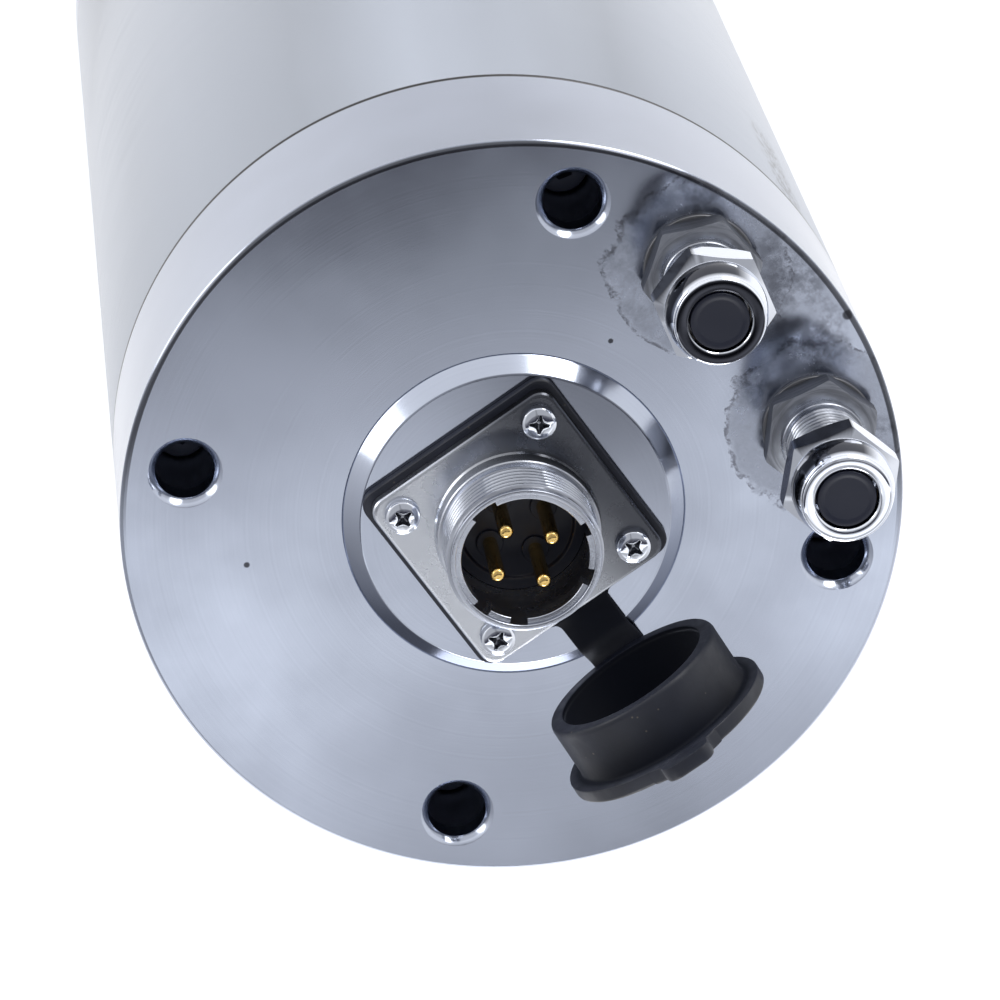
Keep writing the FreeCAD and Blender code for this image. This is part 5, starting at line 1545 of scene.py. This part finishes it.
@dataclass
class DustCap:
    """The rubber cap, made closed over the barrel and swung to its rest, and its strap."""

    mouth: float = 262.5
    depth: float = 7.7
    disc: float = 14.0
    disc_thickness: float = 2.0
    cup: float = 12.1
    bore: float = 10.3
    inside_shade: float = 0.95
    ledge_shade: float = 0.8
    tab_half_width: float = 3.4
    tab_reach: float = 2.7
    tab_thickness: float = 1.9
    tab_tip: float = 1.7
    tab_scale: float = 0.93
    strap_half_width: float = 3.65
    strap_thickness: float = 1.0
    strap_bevel: float = 0.22
    strap_flare: float = 1.4
    strap_level: float = 256.1
    strap_low: float = 254.15
    strap_start: float = 14.35
    strap_crest: float = 20.0
    strap_foot: float = 22.8
    strap_end: float = 30.25
    strap_steps: int = 48
    strap_darkening: float = 0.8

    def build(self, shop: Workshop, joint: dict) -> None:
        """Make the cap and the strap.

        Args:
            shop: The workshop that finishes the pieces.
            joint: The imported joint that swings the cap.
        """
        cap = merged([self._cup(), self._tab()])
        hinge = Matrix.Translation(joint["pos_m"])
        swing = Matrix.Rotation(math.radians(-joint["range_deg"][0]), 4, Vector(joint["axis"]))
        bmesh.ops.transform(cap, matrix=hinge @ swing @ hinge.inverted(), verts=cap.verts)
        rubber = shop.piece("rubber_cap", cap, Finish.RUBBER, Body.DUST_CAP, "dust_cap", sharp=40.0)
        rubber.visible_glossy = False
        strap = shop.piece("rubber_strap", self._strap(), Finish.RUBBER, Body.HOUSING,
                           "dust_cap_strap", sharp=50.0, ride=False)
        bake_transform(strap, Body.HOUSING.value, Body.DUST_CAP.value,
                 start=((self.strap_start + 0.4) * MM, 0.0, self.strap_level * MM),
                 end=((self.strap_end - 0.3) * MM, 0.0, self.strap_level * MM))

    def _cup(self) -> BMesh:
        """Make the cup and its disc, with painted shade inside and on the ledge between them.

        Returns:
            The mesh.
        """
        under = self.mouth + self.depth
        top = under + self.disc_thickness
        bm = lathe([
            (0.0, under), (self.bore - 0.1, under, 0.9), (self.bore, self.mouth + 0.8, 0.2),
            (self.bore - 0.2, self.mouth + 0.4, 0.2), (self.bore - 0.1, self.mouth, 0.2),
            (self.cup - 0.25, self.mouth, 0.3), (self.cup, self.mouth + 0.5, 0.3),
            (self.cup, under, 0.5), (self.disc - 0.1, under, 0.15), (self.disc, under + 0.15, 0.15),
            (self.disc, top - 0.3, 0.3), (self.disc - 0.4, top, 0.3), (self.disc - 2.0, top),
            (0.0, top)], 128, closed=False, rounding=4)
        # Painted shade inside the cup and on the ledge between cup and disc.
        for vert in bm.verts:
            radius, _, height = polar(vert)
            if radius < self.bore + 0.1 and self.mouth + 0.1 < height < under + 0.01:
                darkened(bm, [vert], self.inside_shade)
            elif self.cup - 0.1 < radius < self.disc - 0.2 and abs(height - under) < 0.6:
                darkened(bm, [vert], self.ledge_shade)
        return bm

    def _tab(self) -> BMesh:
        """Make the lift tab with its flared root and rounded end.

        Returns:
            The mesh.
        """
        top = self.mouth + self.depth + self.disc_thickness - 0.15
        low = top - self.tab_thickness
        root, end = self.disc - 0.6, self.disc + self.tab_reach
        half, tip, scale = self.tab_half_width, self.tab_tip, self.tab_scale
        side = [(root, half + 1.6), (self.disc - 0.25, half + 1.1), (self.disc + 0.1, half + 0.5),
                (self.disc + 0.35, half + 0.15), (self.disc + 0.6, half), (end - tip, half)]
        for step in range(1, 9):
            turn = math.radians(90.0 * step / 8)
            side.append((end - tip + tip * math.sin(turn), half - tip + tip * math.cos(turn)))
        middle = -(root + end) / 2.0
        bm = new_mesh()
        loop = loop_of(bm, [(middle + (-x - middle) * scale, y * scale, top)
                            for x, y in side + [(x, -y) for x, y in reversed(side)]])
        close(bm, loop)
        close(bm, sink(bm, loop, [(1.045, top - 0.06), (1.075, top - 0.3), (1.075, low + 0.25),
                                  (1.045, low + 0.05), (1.0, low)], centre=(middle, 0.0)))
        return bm

    def _strap(self) -> BMesh:
        """Make the strap as a band that follows the boss down to the face.

        Returns:
            The mesh.
        """
        half, thick, bevel = self.strap_half_width, self.strap_thickness, self.strap_bevel
        section = [
            (-half, bevel), (-half + bevel, 0.0), (0.0, 0.0), (half - bevel, 0.0), (half, bevel),
            (half, thick - bevel), (half - bevel, thick), (0.0, thick), (-half + bevel, thick),
            (-half, thick - bevel)]
        rings: list[list[Point]] = []
        for step in range(self.strap_steps + 1):
            x = self.strap_start + (self.strap_end - self.strap_start) * step / self.strap_steps
            drop = (x - self.strap_crest + 0.9) / (self.strap_foot - self.strap_crest + 1.2)
            drop = min(1.0, max(0.0, drop))
            drop = drop * drop * (3.0 - 2.0 * drop)
            z = self.strap_level + (self.strap_low - self.strap_level) * drop
            near = max(0.0, 1.0 - (x - self.strap_start) / self.strap_flare)
            widen = 1.0 + self.strap_flare / half * (1.0 - math.sqrt(1.0 - near * near))
            rings.append([(x, y * widen, z + rise) for y, rise in section])
        bm = swept(rings)
        # The whole strap is made darker and far less glossy.
        darkened(bm, bm.verts, self.strap_darkening)
        return bm


@dataclass
class WaterFitting:
    """A water fitting: hexagon body, washer, union nut and plug."""

    name: str
    angle: float
    nut_height: float
    body_turn: float
    nut_turn: float
    mouth_shade: float = 0.0
    circle: float = 40.1
    face: float = 254.0
    washer: float = 7.1
    washer_thickness: float = 0.8
    washer_shade: float = 0.7
    flats: float = 13.4
    corner: float = 7.75
    hexagon_height: float = 3.8
    hexagon_shade: Range = (0.74, 0.40)
    collar: float = 5.35
    collar_height: float = 1.3
    thread: float = 5.0
    thread_depth: float = 0.5
    pitch: float = 1.0
    thread_length: float = 11.2
    bore: float = 3.0
    stub: float = 4.75
    stub_depth: float = 10.0
    nut_hexagon: float = 4.2
    nut_collar: float = 6.38
    nut_mouth: float = 5.35
    nut_length: float = 8.75
    nut_bore: float = 3.97
    nut_thread: float = 5.06
    shade_azimuth: float = 186.0
    flat_shade: float = 0.9
    dome_shade: float = 0.95
    plug: float = 3.68
    plug_face: float = 8.45
    plug_head: float = 2.2
    plug_stem: float = 2.7
    plug_stem_length: float = 5.0
    stain_radius: float = 11.6

    @property
    def place(self) -> Place:
        """The fitting's centre, in millimetres."""
        return ring_places(1, self.circle, self.angle)[0]

    @property
    def stain(self) -> Point:
        """Place and radius, in metres, of the dull patch round the fitting."""
        return (*(number * MM for number in self.place), self.stain_radius * MM)

    def build(self, shop: Workshop) -> None:
        """Make the fitting's pieces.

        Args:
            shop: The workshop that finishes the pieces.
        """
        name, place = self.name, self.place
        body = moved(self._body(), *place, self.face + self.washer_thickness, self.body_turn)
        shop.piece(name + "_hexagon_body", body, Finish.NICKEL, Body.HOUSING,
                   name + "_fitting_body")
        inner, outer, thick = self.stub + 0.1, self.washer, self.washer_thickness
        washer = lathe([(inner, 0.0), (outer, 0.0, 0.25), (outer, thick, 0.25), (inner, thick)], 72)
        # Painted shade over the whole washer, under the hexagon body.
        darkened(washer, washer.verts, self.washer_shade)
        shop.piece(name + "_washer", moved(washer, *place, self.face), Finish.ALUMINIUM,
                   Body.HOUSING, name + "_sealing_washer")
        base = self.face + self.nut_height
        shop.piece(name + "_nut", moved(self._nut(), *place, base, self.nut_turn), Finish.CHROME,
                   name + "_nut", name + "_union_nut", sharp=24.0)
        shop.piece(name + "_stopper", moved(self._plug(), *place, base), Finish.PLASTIC,
                   name + "_plug", name + "_plug")

    def _body(self) -> BMesh:
        """Make the hexagon body with its helical thread, on a base at height 0.

        Returns:
            The mesh.
        """
        high = self.hexagon_height
        collar_top = high + self.collar_height
        root = self.thread - self.thread_depth
        tip = collar_top + self.thread_length
        stub_end = -self.washer_thickness - self.stub_depth
        marker = self.corner + 1.0
        low, top = collar_top + 0.1, tip - 0.25
        bm = lathe([
            (self.bore, stub_end), (self.stub, stub_end, 0.4), (self.stub, 0.0), (6.5, 0.0),
            (marker, 0.0), (marker, high), (6.2, high), (self.collar, high + 0.05),
            (self.collar, collar_top, 0.3), (root + 0.05, collar_top + 0.05),
            *thread_rows(root, low, top, self.pitch), (root, tip, 0.2), (self.bore, tip, 0.15)])
        cut_thread(bm, root, self.thread_depth, low, top, self.pitch)
        mill_hexagon(bm, marker, self.flats, self.corner - 0.09, 0.0, high, 6.5, 6.2)
        # Painted shade on the hexagon, darkest at its foot on the face.
        foot_shade, top_shade = self.hexagon_shade
        for vert in bm.verts:
            radius, _, height = polar(vert)
            if radius > 6.0 and height < high + 0.1:
                darkened(bm, [vert], foot_shade + (top_shade - foot_shade) * max(0.0, height) / high)
        return bm

    def _nut(self) -> BMesh:
        """Make the union nut, on a base at height 0.

        Returns:
            The mesh.
        """
        marker = self.corner + 1.0
        high, mouth, collar = self.nut_hexagon, self.nut_length, self.nut_collar
        bm = lathe([
            (self.nut_thread, 0.45), (self.nut_thread + 0.4, 0.0), (6.3, 0.0), (marker, 0.0),
            (marker, high), (collar + 0.02, high), (collar - 0.04, high + 0.18),
            (collar, high + 1.5, 0.5), (collar - 0.2, mouth - 1.9, 0.8),
            (self.nut_mouth + 0.42, mouth - 0.62, 0.5), (self.nut_mouth + 0.3, mouth - 0.5, 0.05),
            (self.nut_mouth + 0.22, mouth - 0.12, 0.1), (self.nut_mouth - 0.05, mouth, 0.12),
            (self.nut_bore + 0.25, mouth, 0.08), (self.nut_bore, mouth - 0.25, 0.06),
            (self.nut_bore, 7.2), (self.nut_thread, 6.1)])
        mill_hexagon(bm, marker, self.flats, self.corner - 0.06, 0.0, high, 6.3, collar)
        # Painted shade and dark reflection on the flats and dome turned towards one azimuth, and a painted
        # dark reflection on the mouth.
        shift = self.nut_turn - self.shade_azimuth
        for vert in bm.verts:
            radius, azimuth, height = polar(vert)
            turned = math.degrees(azimuth)
            flat = 60.0 * math.floor(turned / 60.0) + 30.0
            towards = math.cos(math.radians(turned + shift))
            flat_towards = math.cos(math.radians(flat + shift))
            if radius > collar + 0.1 and height < high + 0.1 and flat_towards > 0.82:
                darkened(bm, [vert], self.flat_shade)
            elif high + 0.1 < height < mouth - 1.2 and radius < collar + 0.1:
                darkened(bm, [vert], self.dome_shade * min(1.0, max(0.0, 3.0 * towards - 0.4)))
            elif height > mouth - 0.1 and self.nut_bore + 0.12 < radius < self.nut_mouth + 0.1:
                darkened(bm, [vert], self.mouth_shade)
        return bm

    def _plug(self) -> BMesh:
        """Make the black stopper.

        Returns:
            The mesh.
        """
        face, head = self.plug_face, self.plug_face - self.plug_head
        stem = head - self.plug_stem_length
        return lathe([
            (0.0, stem), (self.plug_stem, stem, 0.3), (self.plug_stem, head), (self.plug, head),
            (self.plug, face, 0.25), (self.plug - 0.5, face - 0.02, 0.1),
            (self.plug - 0.9, face - 0.12, 0.1), (0.0, face - 0.12)], 64, closed=False)


@dataclass
class Nose:
    """The tool end: front housing, collet nut and collet."""

    face: float = 34.0
    radius: float = 50.0
    edge: float = 1.0
    seam: float = 46.0
    spigot: float = 45.9
    spigot_length: float = 4.0
    hub: float = 38.9
    hub_end: float = 84.0
    bore: float = 27.5
    lip: float = 24.5
    bearing_end: float = 80.0
    screw_circle: float = 42.25
    screw_bore: float = 3.75
    screw_depth: float = 5.0
    nut_length: float = 19.0
    nut_flats: float = 30.0
    nut_radius: float = 17.0
    nut_face: float = 14.3
    nut_back: float = 14.8
    nut_opening: float = 8.7
    thread_bore: float = 12.5
    collet_face: float = 1.0
    collet_end: float = 32.5
    collet_bore: float = 3.0
    slit_half_width: float = 0.3
    slit_length: float = 26.0
    slit_angle: float = 7.5
    segments: int = 12
    segment_steps: int = 8

    def build(self, shop: Workshop) -> None:
        """Make the pieces of the tool end.

        Args:
            shop: The workshop that finishes the pieces.
        """
        shop.piece("front_end_cap", self._housing(), Finish.POLISHED, Body.HOUSING, "front_housing")
        shop.piece("clamping_nut", self._nut(), Finish.GROUND, Body.COLLET_NUT, "collet_nut")
        shop.piece("spring_collet", self._collet(), Finish.BEARING, Body.COLLET, "collet")

    def _housing(self) -> BMesh:
        """Make the front housing with its blind screw holes.

        Returns:
            The mesh.
        """
        bm = new_mesh()
        face, outer, shoulder = self.face, self.radius - self.edge, self.seam + self.spigot_length
        rim = loop_of(bm, circle_points((0, 0), face, outer, 192))
        eye = loop_of(bm, circle_points((0, 0), face, self.bore, 96))
        holes = [(place, loop_of(bm, circle_points(place, face, self.screw_bore, 40)))
                 for place in ring_places(4, self.screw_circle, 45.0)]
        fill(bm, rim, eye, *(loop for _, loop in holes))
        for place, loop in holes:
            close(bm, sink(bm, loop, [(0.95, face + 0.15), (0.95, face + self.screw_depth)],
                           centre=place))
        back = sink(bm, rim, [
            (outer + 0.85, face + 0.85), (self.radius, face + 1.2), (self.radius, self.seam - 0.2),
            (self.radius - 0.2, self.seam), (self.spigot, self.seam), (self.spigot, shoulder),
            (self.hub, shoulder), (self.hub, self.hub_end)], outer)
        bore = sink(bm, eye, [(self.bore, self.bearing_end), (self.lip, self.bearing_end),
                              (self.lip, self.hub_end)], self.bore)
        bmesh.ops.bridge_loops(bm, edges=edges_of(bm, back, bore))
        return bm

    def _nut(self) -> BMesh:
        """Make the hexagonal collet nut.

        Returns:
            The mesh.
        """
        marker, end, thread = self.nut_radius + 3.0, self.nut_length, self.thread_bore
        bm = lathe([
            (self.nut_opening, 0.0, 0.3), (self.nut_face, 0.0, 0.3), (marker, 0.0), (marker, end),
            (self.nut_back, end, 0.1), (thread + 0.9, end, 0.2), (thread, end - 0.8), (thread, 9.0),
            (thread + 0.3, 9.0), (thread + 0.3, 6.45), (10.2, 6.45), (10.2, 4.75), (10.75, 4.75),
            (10.75, 3.95), (10.5, 3.95), (self.nut_opening, 0.85)], 144)
        mill_hexagon(bm, marker, self.nut_flats, self.nut_radius, 0.0, end, self.nut_face,
                     self.nut_back)
        return bm

    def _collet(self) -> BMesh:
        """Make the spring collet with its two sets of slits.

        Returns:
            The mesh.
        """
        face, end, bore = self.collet_face, self.collet_end, self.collet_bore
        outline = self._split(softened([
            (bore, face, 0.25), (8.7, face, 0.2), (10.5, face + 3.1, 0.1), (10.5, face + 3.6, 0.1),
            (9.4, face + 3.6), (9.4, face + 5.6), (10.5, face + 5.6, 0.2), (6.86, end, 0.3),
            (bore, end, 0.2)]))
        return merged([self._segment(outline, index) for index in range(self.segments)])

    def _split(self, outline: list[Place]) -> list[Place]:
        """Add a point to an outline wherever it passes the end of a set of slits.

        Args:
            outline: The collet's closed outline.

        Returns:
            The outline with the added points.
        """
        ends = (self.collet_face + self.slit_length, self.collet_end - self.slit_length)
        dense: list[Place] = []
        for index, first in enumerate(outline):
            second = outline[(index + 1) % len(outline)]
            dense.append(first)
            between = [z for z in ends if min(first[1], second[1]) < z < max(first[1], second[1])]
            for z in sorted(between, reverse=first[1] > second[1]):
                share = (z - first[1]) / (second[1] - first[1])
                dense.append((first[0] + (second[0] - first[0]) * share, z))
        return dense

    def _segment(self, outline: list[Place], index: int) -> BMesh:
        """Make one part of the collet, from a slit of one set to a slit of the other.

        Args:
            outline: The collet's closed outline.
            index: The part's number. An even one starts at a slit from the front face.

        Returns:
            The mesh.
        """
        front_first = index % 2 == 0
        width = 360.0 / self.segments
        start = width * index + self.slit_angle
        front, rear = self.collet_face + self.slit_length, self.collet_end - self.slit_length
        rings: list[list[Point]] = []
        for step in range(self.segment_steps + 1):
            ring: list[Point] = []
            for radius, height in outline:
                gap = math.degrees(math.asin(min(0.9, self.slit_half_width / radius)))
                at_front, at_rear = height <= front, height >= rear
                open_first, open_last = (at_front, at_rear) if front_first else (at_rear, at_front)
                low = gap if open_first else 0.0
                high = width - (gap if open_last else 0.0)
                angle = math.radians(start + low + (high - low) * step / self.segment_steps)
                ring.append((radius * math.cos(angle), radius * math.sin(angle), height))
            rings.append(ring)
        return swept(rings)


@dataclass
class Studio:
    """The floor, the lights and the camera."""

    eye: Point = (-0.2525, 0.0988, 0.890)
    right: Point = (0.5706, 0.8154, 0.0971)
    up: Point = (-0.7372, 0.5607, -0.3768)
    back: Point = (-0.3617, 0.1435, 0.9212)
    lens: float = 195.9
    sensor: float = 36.0
    band_direction: Point = (0.93, -0.37, 0.0)
    band: tuple[Range, ...] = (
        (0.0, 0.28), (0.12, 0.14), (0.28, 0.04), (0.325, 0.01), (0.335, 0.03), (0.345, 0.20),
        (0.362, 0.52), (0.381, 0.88), (0.400, 1.02), (0.420, 1.06), (0.433, 0.68), (0.446, 0.33),
        (0.475, 0.30), (0.60, 0.55), (0.80, 1.0))
    side_range: Range = (0.01, 0.075)
    side_lift: float = 0.55
    horizon_range: Range = (0.42, 0.62)
    low_direction: Point = (-0.55, 0.83, 0.0)
    low_range: Range = (-0.9, 0.2)
    low_colours: tuple[Point, Point] = ((0.45, 0.46, 0.49), (0.98, 0.99, 1.01))
    table_size: float = 3.0
    table_glow: float = 0.32
    table_colours: tuple[Point, Point] = ((0.93, 0.93, 0.94), (0.96, 0.96, 0.965))
    lamp_target: Point = (0.0, 0.0, 0.2)
    lamp_size: float = 0.7
    lamps: tuple[tuple[str, Point, float], ...] = (
        ("key_softbox", (1.1, -0.7, 0.75), 9.0), ("fill_softbox", (-0.7, 1.2, 0.5), 6.0),
        ("low_softbox", (-1.1, -0.7, 0.4), 3.0))

    def build(self) -> None:
        """Set up the whole studio."""
        bpy.context.scene.view_settings.view_transform = "Standard"
        self._camera()
        self._floor()
        self._world()
        self._lights()

    def _camera(self) -> None:
        """Place the camera at the photograph's viewpoint."""
        data = bpy.data.cameras.new("photo_camera")
        data.sensor_fit = "HORIZONTAL"
        data.sensor_width = self.sensor
        data.lens = self.lens
        data.clip_start = 0.01
        data.clip_end = 20.0
        camera = bpy.data.objects.new("photo_camera", data)
        axes = Matrix((self.right, self.up, self.back)).transposed()
        camera.matrix_world = Matrix.Translation(self.eye) @ axes.to_4x4()
        bpy.context.scene.collection.objects.link(camera)
        bpy.context.scene.camera = camera

    def _floor(self) -> None:
        """Lay a pale floor."""
        bm = bmesh.new()
        bmesh.ops.create_grid(bm, x_segments=1, y_segments=1, size=self.table_size)
        mesh = bpy.data.meshes.new("studio_floor")
        bm.to_mesh(mesh)
        bm.free()
        material = bpy.data.materials.new("pale_floor")
        material.use_nodes = True
        graph = NodeGraph(material.node_tree)
        shader = graph.principled()
        for name, number in (("Roughness", 0.8), ("Specular IOR Level", 0.1),
                             ("Emission Strength", self.table_glow)):
            shader.inputs[name].default_value = number
        shader.inputs["Emission Color"].default_value = (1.0, 1.0, 1.0, 1.0)
        tone = graph.colours(graph.noise(3.0, 2.0), zip((0.0, 1.0), self.table_colours))
        graph.feed(shader.inputs["Base Color"], tone)
        mesh.materials.append(material)
        floor = bpy.data.objects.new("studio_floor", mesh)
        bpy.context.scene.collection.objects.link(floor)

    def _world(self) -> None:
        """Make the sky a light tent with a darker part behind the camera."""
        world = bpy.data.worlds.new("light_tent")
        bpy.context.scene.world = world
        world.use_nodes = True
        graph = NodeGraph(world.node_tree)
        direction = graph.add("ShaderNodeTexCoord").outputs["Generated"]

        forward = Vector(self.band_direction).normalized()
        along = graph.spread(graph.along(tuple(forward), direction), 0.0, 1.0,
                             interpolation="LINEAR")
        core = graph.colours(along, [(place, (level * 0.96, level * 0.98, level + 0.012))
                                     for place, level in self.band])
        aside = graph.math("ABSOLUTE", graph.along((-forward.y, forward.x, 0.0), direction), 0.0)
        lift = graph.colours(graph.spread(aside, *self.side_range),
                             ((0.0, (0.0, 0.0, 0.0)), (1.0, (self.side_lift,) * 3)))
        sky = graph.add("ShaderNodeVectorMath", operation="MULTIPLY_ADD")
        for socket, value in zip(sky.inputs, (core, lift, core)):
            graph.feed(socket, value)
        low = tuple(Vector(self.low_direction).normalized())
        horizon = graph.colours(graph.spread(graph.along(low, direction), *self.low_range),
                                zip((0.0, 1.0), self.low_colours))
        overhead = graph.spread(graph.along((0.0, 0.0, 1.0), direction), *self.horizon_range)
        background = graph.add("ShaderNodeBackground")
        graph.feed(background.inputs["Color"],
                   graph.blend(overhead, horizon, sky.outputs["Vector"]))
        output = graph.add("ShaderNodeOutputWorld")
        graph.feed(output.inputs["Surface"], background.outputs["Background"])

    def _lights(self) -> None:
        """Hang the soft lights."""
        for name, place, power in self.lamps:
            data = bpy.data.lights.new(name, "AREA")
            data.shape = "DISK"
            data.size = self.lamp_size
            data.energy = power
            lamp = bpy.data.objects.new(name, data)
            lamp.location = place
            aim = Vector(self.lamp_target) - Vector(place)
            lamp.rotation_euler = aim.to_track_quat("-Z", "Y").to_euler()
            bpy.context.scene.collection.objects.link(lamp)


def dress_kept_nodes(frame: dict, palette: Palette) -> None:
    """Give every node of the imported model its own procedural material.

    Args:
        frame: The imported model.
        palette: The materials.
    """
    slots = {item["node"]: item["material_slot"] for item in frame["record"]["subparts"]}
    for name, obj in frame["nodes"].items():
        material = palette.get(Finish(slots[name]))
        if not obj.material_slots:
            obj.data.materials.append(material)
        for slot in obj.material_slots:
            slot.material = material


def main() -> None:
    """Load the frame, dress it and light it."""
    logging.basicConfig(level=logging.INFO)
    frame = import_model()
    fittings = (
        # The inlet's union nut gets a painted dark reflection in its mouth.
        WaterFitting("inlet", angle=109.6, nut_height=11.5, body_turn=7.0, nut_turn=48.0,
                     mouth_shade=0.97),
        WaterFitting("outlet", angle=70.4, nut_height=16.2, body_turn=19.0, nut_turn=16.0),
    )
    casing = Casing()
    palette = Palette([fitting.stain for fitting in fittings], casing.seam * MM)
    dress_kept_nodes(frame, palette)
    shop = Workshop(palette)
    casing.build(shop)
    CapScrews(seat=236.0, tip=206.0).build(shop, "rear_socket_screws", "rear_cap_screws")
    CapScrews(seat=39.0, tip=59.0).build(shop, "front_socket_screws", "front_cap_screws")
    CapScrews(seat=31.7, tip=41.0, circle=30.8, shank=1.5, head=2.75, height=3.0,
              across_flats=2.5, socket_depth=1.5, count=6, first_angle=0.0).build(
        shop, "front_cover_socket_screws", "front_cover_screws")
    PanelConnector().build(shop)
    joint = next(item for item in frame["joints"] if item["name"] == "dust_cap_swing")
    DustCap().build(shop, joint)
    for fitting in fittings:
        fitting.build(shop)
    Nose().build(shop)
    Studio().build()
    for piece in shop.pieces:
        LOG.info("made %s with %d faces", piece.name, len(piece.data.polygons))


if __name__ == "__main__":
    main()
